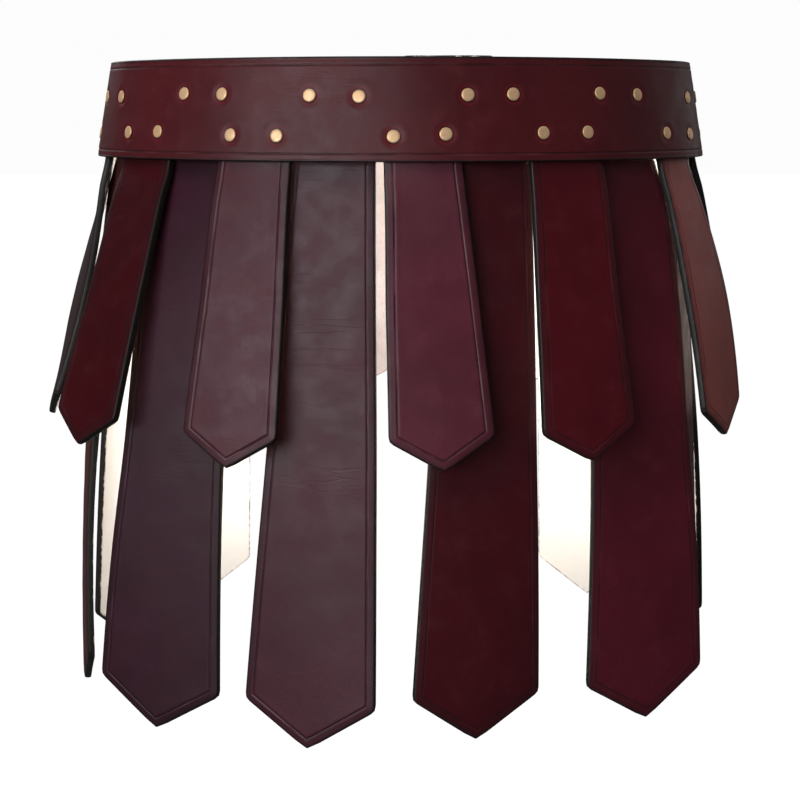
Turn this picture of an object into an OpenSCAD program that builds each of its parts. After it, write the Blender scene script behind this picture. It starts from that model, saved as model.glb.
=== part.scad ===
// Gladiator belt skirt: a flared leather belt with a row of short straps in
// front of a row of long straps, riveted in pairs, and closed at the back by
// two narrow buckled straps.
// The origin is the centre of the waist, at half the belt's height. +Z is up,
// the front faces -Y, and +X is the side seen at the right from the front.

/* [Belt] */
// Height of the belt band, along the vertical
belt_h = 63.5; // [60:0.5:70]
// Thickness of the belt leather
belt_t = 5; // [4:0.1:5.5]
// Half width of the belt's outside at its upper edge, side to side
waist_a = 200; // [195:1:240]
// Half depth of the belt's outside at its upper edge, front to back
waist_b = 152; // [148:1:160]
// Radius of the tight arcs at the two sides, at the upper edge
side_r = 104.6; // [100:0.1:112]
// Flare of the belt, in degrees from the vertical
belt_flare = 9.7; // [8:0.1:11]
// Distance of the tooled line from the belt's edges
belt_line = 5; // [4:0.5:7]
// Width of the gap between the belt's two ends at the back
closure_gap = 44; // [40:1:46]

/* [Straps] */
// Thickness of the strap leather
strap_t = 5; // [4:0.1:5.2]
// Width of a short strap at the belt's lower edge
short_top = 50; // [44:1:52]
// Greatest width of a short strap
short_wide = 65.5; // [54:0.5:66]
// Length of a short strap from the belt to its shoulders
short_shoulder = 169.5; // [140:0.5:180]
// Length of a short strap from the belt to its tip
short_len = 190; // [182:1:200]
// Width of a long strap at the belt's lower edge
long_top = 52; // [44:1:54]
// Greatest width of a long strap
long_wide = 86; // [66:1:87]
// Length of a long strap from the belt to its shoulders
long_shoulder = 336; // [300:1:340]
// Length of a long strap from the belt to its tip
long_len = 364; // [350:1:370]
// Distance of the tooled line from a strap's edges
strap_line = 5.5; // [4:0.5:7]

/* [Rivets] */
// Radius of a rivet's head
head_r = 4.1; // [3.5:0.1:4.2]
// Radius of a rivet's shank
shank_r = 1.7; // [1.4:0.1:1.7]
// Height of the lower rivet row above the belt's lower edge
row_low = 16.7; // [15:0.1:18]
// Height of the upper rivet row above the belt's lower edge
row_high = 40.6; // [40:0.1:42]
// Half the distance between the two rivets of a pair
pair_half = 15.4; // [13:0.1:16]

/* [Closure] */
// Width of the two narrow straps at the back
narrow_w = 19; // [17:0.5:19]
// Height of each narrow strap above and below the belt's middle
narrow_z = 15; // [14.8:0.1:15.5]

/* [Hidden] */
$fn = 64;

// The straps, in order round the belt from one end to the other, starting at
// the back. Place along the upper edge from the middle of the front, outward
// slope in degrees, and lean to the right in degrees.
SHORT = [
  [-530, 12, 0], [-444, 12, 0.5], [-357, 13, 0], [-271, 12, 0],
  [-180, 17, 0.5], [-88.5, 12.5, -0.5], [14.5, 9.5, 3], [106, 8, 2.5],
  [208, 11.5, 1.5], [286, 12, 0], [371, 12, 0], [455.5, 12, 0]
];
LONG = [
  [-485, 8, 0], [-400, 8, 0], [-314, 7, 0], [-226, 7, 0], [-128, 10, -1],
  [-38.5, 8.5, -1], [56.5, 4.5, -2], [149, 7, 1], [243, 3.5, 0],
  [329, 7, 0], [413, 8, 0]
];
closure_at = 512;

oxblood = [0.27, 0.08, 0.11];
dark_red = [0.22, 0.06, 0.08];
copper = [0.85, 0.55, 0.38];
steel = [0.62, 0.62, 0.64];

// Oval of four arcs that meet in line: broad arcs at front and back, tight
// arcs at the sides.
oc = waist_a - side_r;
oq = waist_b - side_r;
oe = (oc * oc - oq * oq) / (2 * oq);
wide_r = waist_b + oe;
th = atan2(oc, oe);
front_half = wide_r * th * PI / 180;
side_len = 2 * side_r * (90 - th) * PI / 180;
loop_len = 4 * front_half + 2 * side_len;
flare_k = tan(belt_flare);
flare_s = 1 / cos(belt_flare);
half_h = belt_h / 2;
leaf = strap_t * flare_s;
belt_in = belt_t * flare_s;
fit_gap = 0.05;
burr_room = 2.2;
hinge_gap = 0.3;
root_low_top = 25.5;
root_high_top = 50;
burr_t = 0.9;

// [start, end, centre x, centre y, radius, facing angle at the start]
ARCS = [
  [-front_half, front_half, 0, oe, wide_r, -th],
  [front_half, front_half + side_len, oc, 0, side_r, th],
  [front_half + side_len, 3 * front_half + side_len, 0, -oe, wide_r, 180 - th],
  [3 * front_half + side_len, 3 * front_half + 2 * side_len, -oc, 0, side_r, 180 + th]
];

function wrap(s) = s < -front_half ? s + loop_len
  : s >= 3 * front_half + 2 * side_len ? s - loop_len : s;
function arc_of(w) = w < ARCS[0][1] ? ARCS[0] : w < ARCS[1][1] ? ARCS[1]
  : w < ARCS[2][1] ? ARCS[2] : ARCS[3];
function facing(s) = let (w = wrap(s), a = arc_of(w))
  a[5] + (w - a[0]) / a[4] * 180 / PI;
function spot(s) = let (w = wrap(s), a = arc_of(w), n = facing(s))
  [a[2] + a[4] * sin(n), a[3] - a[4] * cos(n)];
function on_side(s) = abs(s) > front_half && abs(s) < front_half + side_len;

// Outside of the belt at a place and height: x to the right along the belt,
// y up it, z straight out of it.
module face_at(s, z) {
  n = facing(s);
  p = spot(s);
  o = (half_h - z) * flare_k;
  translate([p[0] + sin(n) * o, p[1] - cos(n) * o, z])
    rotate([0, 0, n]) rotate([-belt_flare, 0, 0]) rotate([90, 0, 0]) children();
}

// One stretch of flared wall, on one arc. The outline's points are [depth
// inwards from the belt's outside, height].
module sector(a, lo, hi, outline) {
  translate([a[2], a[3], 0])
    rotate([0, 0, a[5] + (lo - a[0]) / a[4] * 180 / PI - 90])
      rotate_extrude(angle = (hi - lo) / a[4] * 180 / PI, $fn = 360)
        polygon([for (p = outline) [a[4] + (half_h - p[1]) * flare_k - p[0], p[1]]]);
}

// Wall all round from place s0 to s1. The stretches at the two sides are a
// hair thinner and reach a little way into the broad ones, so that all join.
lap = 0.5;
hair = 0.02;
module wall(s0, s1, outline) {
  thin = [for (q = shrink([for (p = outline) [-p[0], p[1]]], hair)) [-q[0], q[1]]];
  for (i = [0:3], w = [-loop_len, 0, loop_len]) {
    a = ARCS[i];
    side = i % 2 == 1;
    lo = max(s0, a[0] + w);
    hi = min(s1, a[1] + w);
    if (hi > lo + 0.01)
      sector(a, lo - w - (side ? lap : 0), hi - w + (side ? lap : 0), side ? thin : outline);
  }
}

// A short stretch that keeps to the arc of its middle. Where it runs on past a
// broad arc it sits deeper, clear of the tighter curve.
module leaf_wall(s, half, outline) {
  w = wrap(s);
  a = arc_of(w);
  over = max(a[0] - (w - half), w + half - a[1], 0);
  more = a[4] > side_r ? over * over / 2 * (1 / side_r - 1 / wide_r) * 1.1 : 0;
  sector(a, w - half, w + half, [for (p = outline) [p[0] + more, p[1]]]);
}

// Each point of a convex outline moved inwards by d from both its edges.
function shrink(pts, d) = [for (i = [0:len(pts) - 1])
  let (n = len(pts), a = pts[(i + n - 1) % n], b = pts[i], c = pts[(i + 1) % n],
       u = (b - a) / norm(b - a), v = (c - b) / norm(c - b),
       k = 1 + u[0] * v[0] + u[1] * v[1])
  b + d * [-(u[1] + v[1]), u[0] + v[0]] / k];

function turned(p, g) = [p[0] * cos(g) - p[1] * sin(g), p[0] * sin(g) + p[1] * cos(g)];

// ---------- belt ----------

line_w = 0.7;
line_d = 0.45;
// Counter-clockwise in [radius, height]: outer face up, then inner face down.
belt_outline = [
  [0, -half_h + 0.8],
  [0, -half_h + belt_line - line_w], [line_d, -half_h + belt_line - line_w / 2],
  [line_d, -half_h + belt_line + line_w / 2], [0, -half_h + belt_line + line_w],
  [0, half_h - belt_line - line_w], [line_d, half_h - belt_line - line_w / 2],
  [line_d, half_h - belt_line + line_w / 2], [0, half_h - belt_line + line_w],
  [0, half_h - 0.8], [0.8, half_h], [belt_in - 0.8, half_h],
  [belt_in, half_h - 0.8], [belt_in, -half_h + 0.8],
  [belt_in - 0.8, -half_h], [0.8, -half_h]
];

module belt() {
  color(oxblood) difference() {
    wall(closure_at + closure_gap / 2, closure_at - closure_gap / 2 + loop_len, belt_outline);
    for (r = SHORT, e = [-1, 1]) face_at(r[0] + e * pair_half, row_low - half_h)
      rivet_hole();
    for (r = LONG, e = [-1, 1]) face_at(r[0] + e * pair_half, row_high - half_h)
      rivet_hole();
    for (e = [-1, 1], z = [-1, 1], y = [-1, 1]) at_closure(e, z, y) rivet_hole();
  }
}

module rivet_hole() {
  translate([0, 0, -30]) cylinder(r = shank_r + 0.2, h = 40);
}

// ---------- roots of the straps, behind the belt ----------

d0 = belt_in + fit_gap;
step_in = leaf + burr_room;

module short_strap_roots() {
  color(dark_red) for (r = SHORT) difference() {
    leaf_wall(r[0], short_top / 2 - 0.5, [
      [d0, -half_h], [d0, root_low_top - half_h],
      [d0 + leaf, root_low_top - half_h], [d0 + leaf, -half_h]
    ]);
    for (e = [-1, 1]) face_at(r[0] + e * pair_half, row_low - half_h) rivet_hole();
  }
}

// Flat on the belt at the top, then stepped in to pass behind the short ones.
module long_strap_roots() {
  color(dark_red) for (r = LONG) difference() {
    leaf_wall(r[0], long_top / 2 - 1, [
      [d0 + step_in, -half_h], [d0 + step_in, 26.5 - half_h],
      [d0, 32.9 - half_h], [d0, root_high_top - half_h],
      [d0 + leaf, root_high_top - half_h], [d0 + leaf, 34.8 - half_h],
      [d0 + step_in + leaf, 28.4 - half_h], [d0 + step_in + leaf, -half_h]
    ]);
    for (e = [-1, 1]) face_at(r[0] + e * pair_half, row_high - half_h) rivet_hole();
  }
}

// ---------- hanging part of the straps ----------

// The hinge line runs along the belt at its lower edge, where the leather
// bends. Its depth keeps the flat strap within the curve of its root.
short_depth = belt_in + 2 * fit_gap + strap_t / 2;
long_depth = short_depth + strap_t + burr_room;

module strap(r, depth, top, wide, shoulder, length) {
  n = facing(r[0]);
  p = spot(r[0]);
  o = belt_h * flare_k - depth;
  shape = [
    [-top / 2, 0], turned([-wide / 2, -shoulder], r[2]), turned([0, -length], r[2]),
    turned([wide / 2, -shoulder], r[2]), [top / 2, 0]
  ];
  translate([p[0] + sin(n) * o, p[1] - cos(n) * o, -half_h - strap_t / 2 - hinge_gap])
    rotate([0, 0, n]) rotate([90, 0, 0]) rotate([-r[1], 0, 0])
      difference() {
        union() {
          translate([0, 0, -strap_t / 2]) linear_extrude(strap_t) polygon(shape);
          rotate([0, 90, 0]) cylinder(d = strap_t, h = top, center = true);
        }
        translate([0, 0, strap_t / 2 - 0.4]) linear_extrude(1) difference() {
          polygon(shrink(shape, strap_line));
          polygon(shrink(shape, strap_line + 1.1));
        }
      }
}

module short_strap(i) {
  r = SHORT[i];
  color(dark_red)
    strap(r, short_depth + (on_side(r[0]) ? 0.8 : 0.4), short_top, short_wide,
      short_shoulder, short_len);
}

module long_strap(i) {
  r = LONG[i];
  color(oxblood)
    strap(r, long_depth + (on_side(r[0]) ? 3.4 : 1.2), long_top, long_wide,
      long_shoulder, long_len);
}

module short_strap_01() { short_strap(0); }
module short_strap_02() { short_strap(1); }
module short_strap_03() { short_strap(2); }
module short_strap_04() { short_strap(3); }
module short_strap_05() { short_strap(4); }
module short_strap_06() { short_strap(5); }
module short_strap_07() { short_strap(6); }
module short_strap_08() { short_strap(7); }
module short_strap_09() { short_strap(8); }
module short_strap_10() { short_strap(9); }
module short_strap_11() { short_strap(10); }
module short_strap_12() { short_strap(11); }
module long_strap_01() { long_strap(0); }
module long_strap_02() { long_strap(1); }
module long_strap_03() { long_strap(2); }
module long_strap_04() { long_strap(3); }
module long_strap_05() { long_strap(4); }
module long_strap_06() { long_strap(5); }
module long_strap_07() { long_strap(6); }
module long_strap_08() { long_strap(7); }
module long_strap_09() { long_strap(8); }
module long_strap_10() { long_strap(9); }
module long_strap_11() { long_strap(10); }

// ---------- rivets ----------

// Flat head outside, shank, and an end spread over the burr inside. out and
// inn are how far the leather reaches from the belt's outside.
module rivet(out, inn) {
  b = inn + burr_t + 0.1;
  rotate_extrude() polygon([
    [0, out + 1.05], [head_r - 0.5, out + 1.05], [head_r, out + 0.75],
    [head_r, out + 0.05], [shank_r, out + 0.05], [shank_r, -b - 0.02],
    [2.6, -b - 0.02], [2.2, -b - 0.6], [1.2, -b - 0.85], [0, -b - 0.85]
  ]);
}

module burr(inn) {
  translate([0, 0, -inn - burr_t - 0.05]) difference() {
    cylinder(r = 3.7, h = burr_t);
    translate([0, 0, -1]) cylinder(r = shank_r + 0.1, h = burr_t + 2);
  }
}

grip = belt_t + strap_t + 0.1;

// How much deeper a burr must sit at e * pair_half from a strap's middle,
// where the root leaves the belt's own curve.
function sunk(s, half, e) = let (
  w = wrap(s), a = arc_of(w), at = w + e * pair_half,
  bend = 1 / side_r - 1 / wide_r,
  over = max(a[0] - (w - half), w + half - a[1], 0),
  past = max(a[0] - at, at - a[1], 0))
  a[4] > side_r ? over * over / 2 * bend * 1.1
    : past > 0 ? past * past / 2 * bend + 3.8 * past * bend : 0;

module short_strap_rivets() {
  color(copper) for (r = SHORT, e = [-1, 1])
    face_at(r[0] + e * pair_half, row_low - half_h)
      rivet(0, grip + sunk(r[0], short_top / 2 - 0.5, e));
}
module long_strap_rivets() {
  color(copper) for (r = LONG, e = [-1, 1])
    face_at(r[0] + e * pair_half, row_high - half_h) rivet(0, grip);
}
module short_strap_burrs() {
  color(copper) for (r = SHORT, e = [-1, 1])
    face_at(r[0] + e * pair_half, row_low - half_h)
      burr(grip + sunk(r[0], short_top / 2 - 0.5, e));
}
module long_strap_burrs() {
  color(copper) for (r = LONG, e = [-1, 1])
    face_at(r[0] + e * pair_half, row_high - half_h) burr(grip);
}

// ---------- closure at the back ----------

guard_t = 3.2;
chape_t = 2.4;
billet_t = 3.2;
chape_top = 5.5;
billet_top = 3.3;

guard_gap = 0.3;
guard_in = belt_t + guard_gap + guard_t;

// How far the belt's outside falls away at x from the closure's middle.
bend_r = (wide_r + half_h * flare_k) / cos(belt_flare);
function fall(x) = bend_r - sqrt(bend_r * bend_r - x * x);

// The rivets' places, four at each side of the gap.
rivet_y = 4.7;
module on_bend(e, y) {
  x = e < 0 ? 27.8 : 27;
  translate([e * x, y * rivet_y, -fall(x)])
    rotate([0, e * asin(x / bend_r), 0]) children();
}
module at_closure(e, z, y) {
  face_at(closure_at, z * narrow_z) on_bend(e, y) children();
}

module closure_rivets() {
  color(copper) for (z = [-1, 1], y = [-1, 1]) {
    at_closure(1, z, y) rivet(billet_top, guard_in + 0.05);
    at_closure(-1, z, y) rivet(chape_top, belt_t + 0.05);
  }
}
module closure_burrs() {
  color(copper) for (z = [-1, 1], y = [-1, 1]) {
    at_closure(1, z, y) burr(guard_in + 0.05);
    at_closure(-1, z, y) burr(belt_t + 0.05);
  }
}

// Buckle: the bar that holds the folded end, the front bar with its roller.
bar_x = -8.5;
bar_z = 4.5;
front_x = 8.5;
front_z = 6.8;
wire_r = 1.75;
side_y = 12.3;

// Section through the strap's width turned to lie along the belt.
module across(w) {
  rotate([90, 0, 0]) linear_extrude(w, center = true) children();
}

// A band of thickness t along a line of points.
function band(pts, t) = let (
  n = len(pts),
  dir = [for (i = [0:n - 1]) let (a = pts[max(i - 1, 0)], b = pts[min(i + 1, n - 1)])
    (b - a) / norm(b - a)])
  concat([for (i = [0:n - 1]) pts[i] + t / 2 * [-dir[i][1], dir[i][0]]],
    [for (i = [n - 1:-1:0]) pts[i] - t / 2 * [-dir[i][1], dir[i][0]]]);

// Leather panel behind the gap: broad above, narrow between the last roots.
// It lies on the belt at one end, where it is riveted, and steps in behind the
// burrs of the other end.
guard_line = [for (x = [37.5, 31, 25, 21, 17, 11, 4, -4, -11, -17, -24, -31, -37.5])
  [x, -belt_t - guard_gap - guard_t / 2 - fall(x) - (x > 20 ? 0 : x > 16.5 ? 1.8 : 2.3)]];
guard_top = 43.6;
guard_foot = -half_h * flare_s;

module closure_guard() {
  color(oxblood) difference() {
    face_at(closure_at, 0) difference() {
      translate([0, (guard_top + guard_foot) / 2, 0]) across(guard_top - guard_foot)
        polygon(band(guard_line, guard_t));
      for (x = [31, -51]) translate([x, guard_foot - 5, -30])
        cube([20, 0.9 - guard_foot, 40]);
    }
    for (z = [-1, 1], y = [-1, 1]) at_closure(1, z, y) rivet_hole();
  }
}

// Folded end piece: an inner leg on the belt, a fold round the bar, and an
// outer leg, with a slot for the prong.
inner_leg = [for (x = [-34.5, -30, -26, -22, -18, -14, -11.4, bar_x])
  [x, x > -10 ? bar_z - wire_r - 0.15 - chape_t / 2
    : min(-fall(x) + 0.15 + chape_t / 2, 1.3)]];
outer_leg = [[-34.5, 3.85 - fall(34.5)], [-30.5, 3.85 - fall(30.5)],
  [-26.6, 4 - fall(26.6)], [-23.5, 2.75], [-21.5, 4.5], [-19, 4.85], [-14.6, 5.15],
  [-11.2, 6.95], [-10, 7.4], [bar_x, bar_z + wire_r + 0.15 + chape_t / 2]];

module chape() {
  color(dark_red) difference() {
    union() {
      across(narrow_w) polygon(band(inner_leg, chape_t));
      across(narrow_w) polygon(band(outer_leg, chape_t));
      across(narrow_w) difference() {
        translate([bar_x, bar_z]) circle(r = wire_r + 0.15 + chape_t);
        translate([bar_x, bar_z]) circle(r = wire_r + 0.15);
        translate([bar_x - 20, bar_z - 10]) square([20, 20]);
      }
    }
    translate([-15.5, -2.3, -5]) cube([16, 4.6, 20]);
    for (y = [-1, 1]) on_bend(-1, y)
      cylinder(r = shank_r + 0.2, h = 40, center = true);
  }
}

module buckle_frame() {
  d = [front_x - bar_x, front_z - bar_z];
  color(steel) union() {
    for (b = [[bar_x, bar_z], [front_x, front_z]])
      translate([b[0], 0, b[1]]) rotate([90, 0, 0])
        cylinder(r = wire_r, h = 2 * side_y, center = true);
    for (y = [-side_y, side_y]) translate([bar_x, y, bar_z])
      rotate([90, 0, 0]) linear_extrude(2.8, center = true)
        rotate(atan2(d[1], d[0])) union() {
          circle(r = 2.3);
          translate([norm(d), 0]) circle(r = 2.3);
          translate([0, -1.9]) square([norm(d), 3.8]);
        }
  }
}

module roller() {
  color(steel) translate([front_x, 0, front_z]) rotate([90, 0, 0])
    difference() {
      cylinder(r = 3, h = 20, center = true);
      cylinder(r = wire_r + 0.3, h = 22, center = true);
    }
}

// The prong lies over the roller, and its loop turns on the bar.
prong_r = 1.4;
loop_in = wire_r + 0.3;
loop_out = 3.9;
tip_z = front_z + 3 + 0.3 + prong_r;
prong_from = [bar_x, bar_z + 2.9];
prong_tilt = atan2(tip_z - prong_from[1], front_x - prong_from[0]);

module prong_wire(r, extra) {
  translate([prong_from[0], 0, prong_from[1]]) rotate([0, 90 - prong_tilt, 0])
    cylinder(r = r, h = 19.5 + extra);
}

module prong() {
  color(steel) difference() {
    union() {
      translate([bar_x, 0, bar_z]) rotate([90, 0, 0])
        cylinder(r = loop_out, h = 3, center = true);
      prong_wire(prong_r, 0);
      translate([prong_from[0], 0, prong_from[1]]) rotate([0, 90 - prong_tilt, 0])
        translate([0, 0, 19.5]) sphere(r = prong_r);
    }
    translate([bar_x, 0, bar_z]) rotate([90, 0, 0])
      cylinder(r = loop_in, h = 8, center = true);
  }
}

// Loop round the outer leg and the free end of the narrow strap.
module keeper() {
  color(dark_red) translate([-21.05, 0, 0]) difference() {
    translate([0, -11.5, 2.15]) cube([5.7, 23, 9.45]);
    translate([-1, -9.8, 3.25]) cube([8, 19.6, 6.95]);
  }
}

// Holed strap: riveted at the right, under the roller, over the fold, then
// along the belt to the left with its end cut to a point.
billet_line = [
  [34.5, 1.7 - fall(34.5)], [30.5, 1.7 - fall(30.5)], [26.5, 1.7 - fall(26.5)],
  [22.5, 1.7 - fall(22.5)], [18, 1.5], [13, 1.55], [8.5, 1.75], [7.2, 2.05],
  [5.9, 2.65], [-5.3, 9.75], [-6.8, 10.45], [-8.5, 10.75], [-11.4, 10.35],
  [-15, 8.35], [-19, 8.0], [-24, 7.7], [-30, 7.5 - fall(30) / 2],
  [-36, 7.2 - fall(36) / 2], [-42, 7 - fall(42) / 2], [-47, 6.8 - fall(47) / 2],
  [-53, 6.6 - fall(53) / 2]
];

module billet() {
  color(dark_red) difference() {
    intersection() {
      across(narrow_w) polygon(band(billet_line, billet_t));
      translate([0, 0, -10]) linear_extrude(40) polygon([
        [36, -narrow_w / 2], [36, narrow_w / 2], [-44, narrow_w / 2],
        [-52.5, 2.5], [-52.5, -2.5], [-44, -narrow_w / 2]
      ]);
    }
    // Oval hole worn by the prong over its play.
    for (a = [0:3:12])
      translate([bar_x, 0, bar_z]) rotate([0, -a, 0])
        translate([-bar_x, 0, -bar_z]) prong_wire(prong_r + 0.35, 4);
    for (x = [-29, -39, 17]) translate([x, 0, 0])
      cylinder(r = 2, h = 40, center = true);
    for (y = [-1, 1]) on_bend(1, y)
      cylinder(r = shank_r + 0.2, h = 40, center = true);
  }
}

module upper_chape() { face_at(closure_at, narrow_z) chape(); }
module lower_chape() { face_at(closure_at, -narrow_z) chape(); }
module upper_buckle_frame() { face_at(closure_at, narrow_z) buckle_frame(); }
module lower_buckle_frame() { face_at(closure_at, -narrow_z) buckle_frame(); }
module upper_roller() { face_at(closure_at, narrow_z) roller(); }
module lower_roller() { face_at(closure_at, -narrow_z) roller(); }
module upper_prong() { face_at(closure_at, narrow_z) prong(); }
module lower_prong() { face_at(closure_at, -narrow_z) prong(); }
module upper_keeper() { face_at(closure_at, narrow_z) keeper(); }
module lower_keeper() { face_at(closure_at, -narrow_z) keeper(); }
module upper_billet() { face_at(closure_at, narrow_z) billet(); }
module lower_billet() { face_at(closure_at, -narrow_z) billet(); }

belt();
short_strap_roots();
long_strap_roots();
short_strap_01();
short_strap_02();
short_strap_03();
short_strap_04();
short_strap_05();
short_strap_06();
short_strap_07();
short_strap_08();
short_strap_09();
short_strap_10();
short_strap_11();
short_strap_12();
long_strap_01();
long_strap_02();
long_strap_03();
long_strap_04();
long_strap_05();
long_strap_06();
long_strap_07();
long_strap_08();
long_strap_09();
long_strap_10();
long_strap_11();
short_strap_rivets();
long_strap_rivets();
short_strap_burrs();
long_strap_burrs();
closure_guard();
closure_rivets();
closure_burrs();
upper_chape();
lower_chape();
upper_buckle_frame();
lower_buckle_frame();
upper_roller();
lower_roller();
upper_prong();
lower_prong();
upper_keeper();
lower_keeper();
upper_billet();
lower_billet();
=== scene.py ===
import math

import bpy
import numpy as np
from mathutils import Matrix, Vector


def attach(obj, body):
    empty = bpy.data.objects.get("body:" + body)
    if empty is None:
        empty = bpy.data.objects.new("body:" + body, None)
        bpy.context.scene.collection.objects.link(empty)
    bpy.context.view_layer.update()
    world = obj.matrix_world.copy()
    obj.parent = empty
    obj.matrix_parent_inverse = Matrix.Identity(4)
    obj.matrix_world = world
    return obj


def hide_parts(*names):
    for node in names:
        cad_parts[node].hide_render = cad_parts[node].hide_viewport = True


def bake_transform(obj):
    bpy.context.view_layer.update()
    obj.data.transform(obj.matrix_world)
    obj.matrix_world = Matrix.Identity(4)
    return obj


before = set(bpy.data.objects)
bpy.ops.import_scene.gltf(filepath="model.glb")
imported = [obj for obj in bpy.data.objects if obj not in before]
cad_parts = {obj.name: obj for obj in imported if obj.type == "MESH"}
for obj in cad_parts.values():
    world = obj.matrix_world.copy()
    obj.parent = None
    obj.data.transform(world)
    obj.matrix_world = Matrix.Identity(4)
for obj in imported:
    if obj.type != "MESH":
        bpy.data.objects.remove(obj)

scene = bpy.context.scene
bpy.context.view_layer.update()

# ------------------------------------------------------------------ camera

cam_data = bpy.data.cameras.new("camera")
cam_data.lens = 73.89
cam_data.sensor_width = 36
cam_data.sensor_fit = "HORIZONTAL"
cam_data.clip_start = 0.05
cam_data.clip_end = 60
camera = bpy.data.objects.new("camera", cam_data)
scene.collection.objects.link(camera)
scene.camera = camera
yaw, pitch = -0.0118, math.radians(10.0)
right = Vector((math.cos(yaw), -math.sin(yaw), 0))
level = Vector((math.sin(yaw), math.cos(yaw), 0))
ahead = level * math.cos(pitch) + Vector((0, 0, -math.sin(pitch)))
up = right.cross(ahead)
m = Matrix((right, up, -ahead)).transposed().to_4x4()
m.translation = Vector((0.01363, -1.16665, -0.00075))
camera.matrix_world = m

# ------------------------------------------------------------- the belt's oval
# Millimetres, as in the CAD source. s runs along the upper rim from the middle
# of the front, rising towards +X.

A, B, R1 = 200.0, 152.0, 104.6
BELT_H, HALF = 63.5, 31.75
FL = math.radians(9.7)
TAN, SEC, SIN, COS = math.tan(FL), 1 / math.cos(FL), math.sin(FL), math.cos(FL)
OC, OQ = A - R1, B - R1
OE = (OC * OC - OQ * OQ) / (2 * OQ)
R2 = B + OE
TH = math.atan2(OC, OE)
L1 = R2 * TH
L2 = 2 * R1 * (math.pi / 2 - TH)
LOOP = 4 * L1 + 2 * L2
CLOSE = 512.0
GAP = 44.0
T = 5.0
HINGE_Z = -HALF - T / 2 - 0.3


def oval(s):
    """Place on the upper rim and facing angle (from -Y towards +X), for arrays."""
    s = np.asarray(s, float)
    s = (s + L1) % LOOP - L1
    n = np.empty_like(s)
    x = np.empty_like(s)
    y = np.empty_like(s)
    k = s < L1
    n[k] = s[k] / R2
    x[k], y[k] = R2 * np.sin(n[k]), OE - R2 * np.cos(n[k])
    k = (s >= L1) & (s < L1 + L2)
    n[k] = TH + (s[k] - L1) / R1
    x[k], y[k] = OC + R1 * np.sin(n[k]), -R1 * np.cos(n[k])
    k = (s >= L1 + L2) & (s < 3 * L1 + L2)
    n[k] = np.pi - TH + (s[k] - L1 - L2) / R2
    x[k], y[k] = R2 * np.sin(n[k]), -OE - R2 * np.cos(n[k])
    k = s >= 3 * L1 + L2
    n[k] = np.pi + TH + (s[k] - 3 * L1 - L2) / R1
    x[k], y[k] = -OC + R1 * np.sin(n[k]), -R1 * np.cos(n[k])
    return x, y, n


def on_side(s):
    return L1 < abs(s) < L1 + L2


def wall(s, depth, z):
    """Point behind the belt's outside by depth (level), at height z."""
    s, depth, z = np.broadcast_arrays(np.asarray(s, float), depth, z)
    x, y, n = oval(s)
    o = (HALF - z) * TAN - depth
    return np.stack([x + np.sin(n) * o, y - np.cos(n) * o, z], -1)


def face_frame(s, z):
    """Origin on the belt's outside and its axes: along the belt, up it, out of it."""
    x, y, n = (float(v[0]) for v in oval(np.array([s])))
    o = (HALF - z) * TAN
    p = np.array([x + math.sin(n) * o, y - math.cos(n) * o, z])
    ex = np.array([math.cos(n), math.sin(n), 0])
    out = np.array([math.sin(n), -math.cos(n), 0])
    ez = out * COS + np.array([0, 0, 1]) * SIN
    ey = np.cross(ez, ex)
    return p, ex, ey, ez


# --------------------------------------------------------------- mesh helpers


def make(name, verts, faces, mats, index=None, attrs=None, smooth=True, sharp=None):
    """Mesh object from points in millimetres."""
    me = bpy.data.meshes.new(name)
    me.from_pydata((np.asarray(verts) / 1000.0).tolist(), [], faces)
    for mat in mats:
        me.materials.append(mat)
    if index is not None:
        me.polygons.foreach_set("material_index", np.asarray(index, np.int32))
    if smooth:
        me.polygons.foreach_set("use_smooth", np.ones(len(me.polygons), bool))
    for key, value in (attrs or {}).items():
        value = np.asarray(value, np.float32)
        kind = "FLOAT_VECTOR" if value.ndim == 2 else "FLOAT"
        a = me.attributes.new(key, kind, "POINT")
        a.data.foreach_set("vector" if value.ndim == 2 else "value", value.ravel())
    me.update()
    ob = bpy.data.objects.new(name, me)
    scene.collection.objects.link(ob)
    return ob


def grid_faces(rows, cols, base=0, flip=False, wrap=False):
    faces = []
    for i in range(rows - 1):
        for j in range(cols if wrap else cols - 1):
            a = base + i * cols + j
            b = base + i * cols + (j + 1) % cols
            c, d = b + cols, a + cols
            faces.append((a, d, c, b) if flip else (a, b, c, d))
    return faces


def smoothstep(t):
    t = np.clip(t, 0, 1)
    return t * t * (3 - 2 * t)


# ------------------------------------------------------------------ materials


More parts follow.
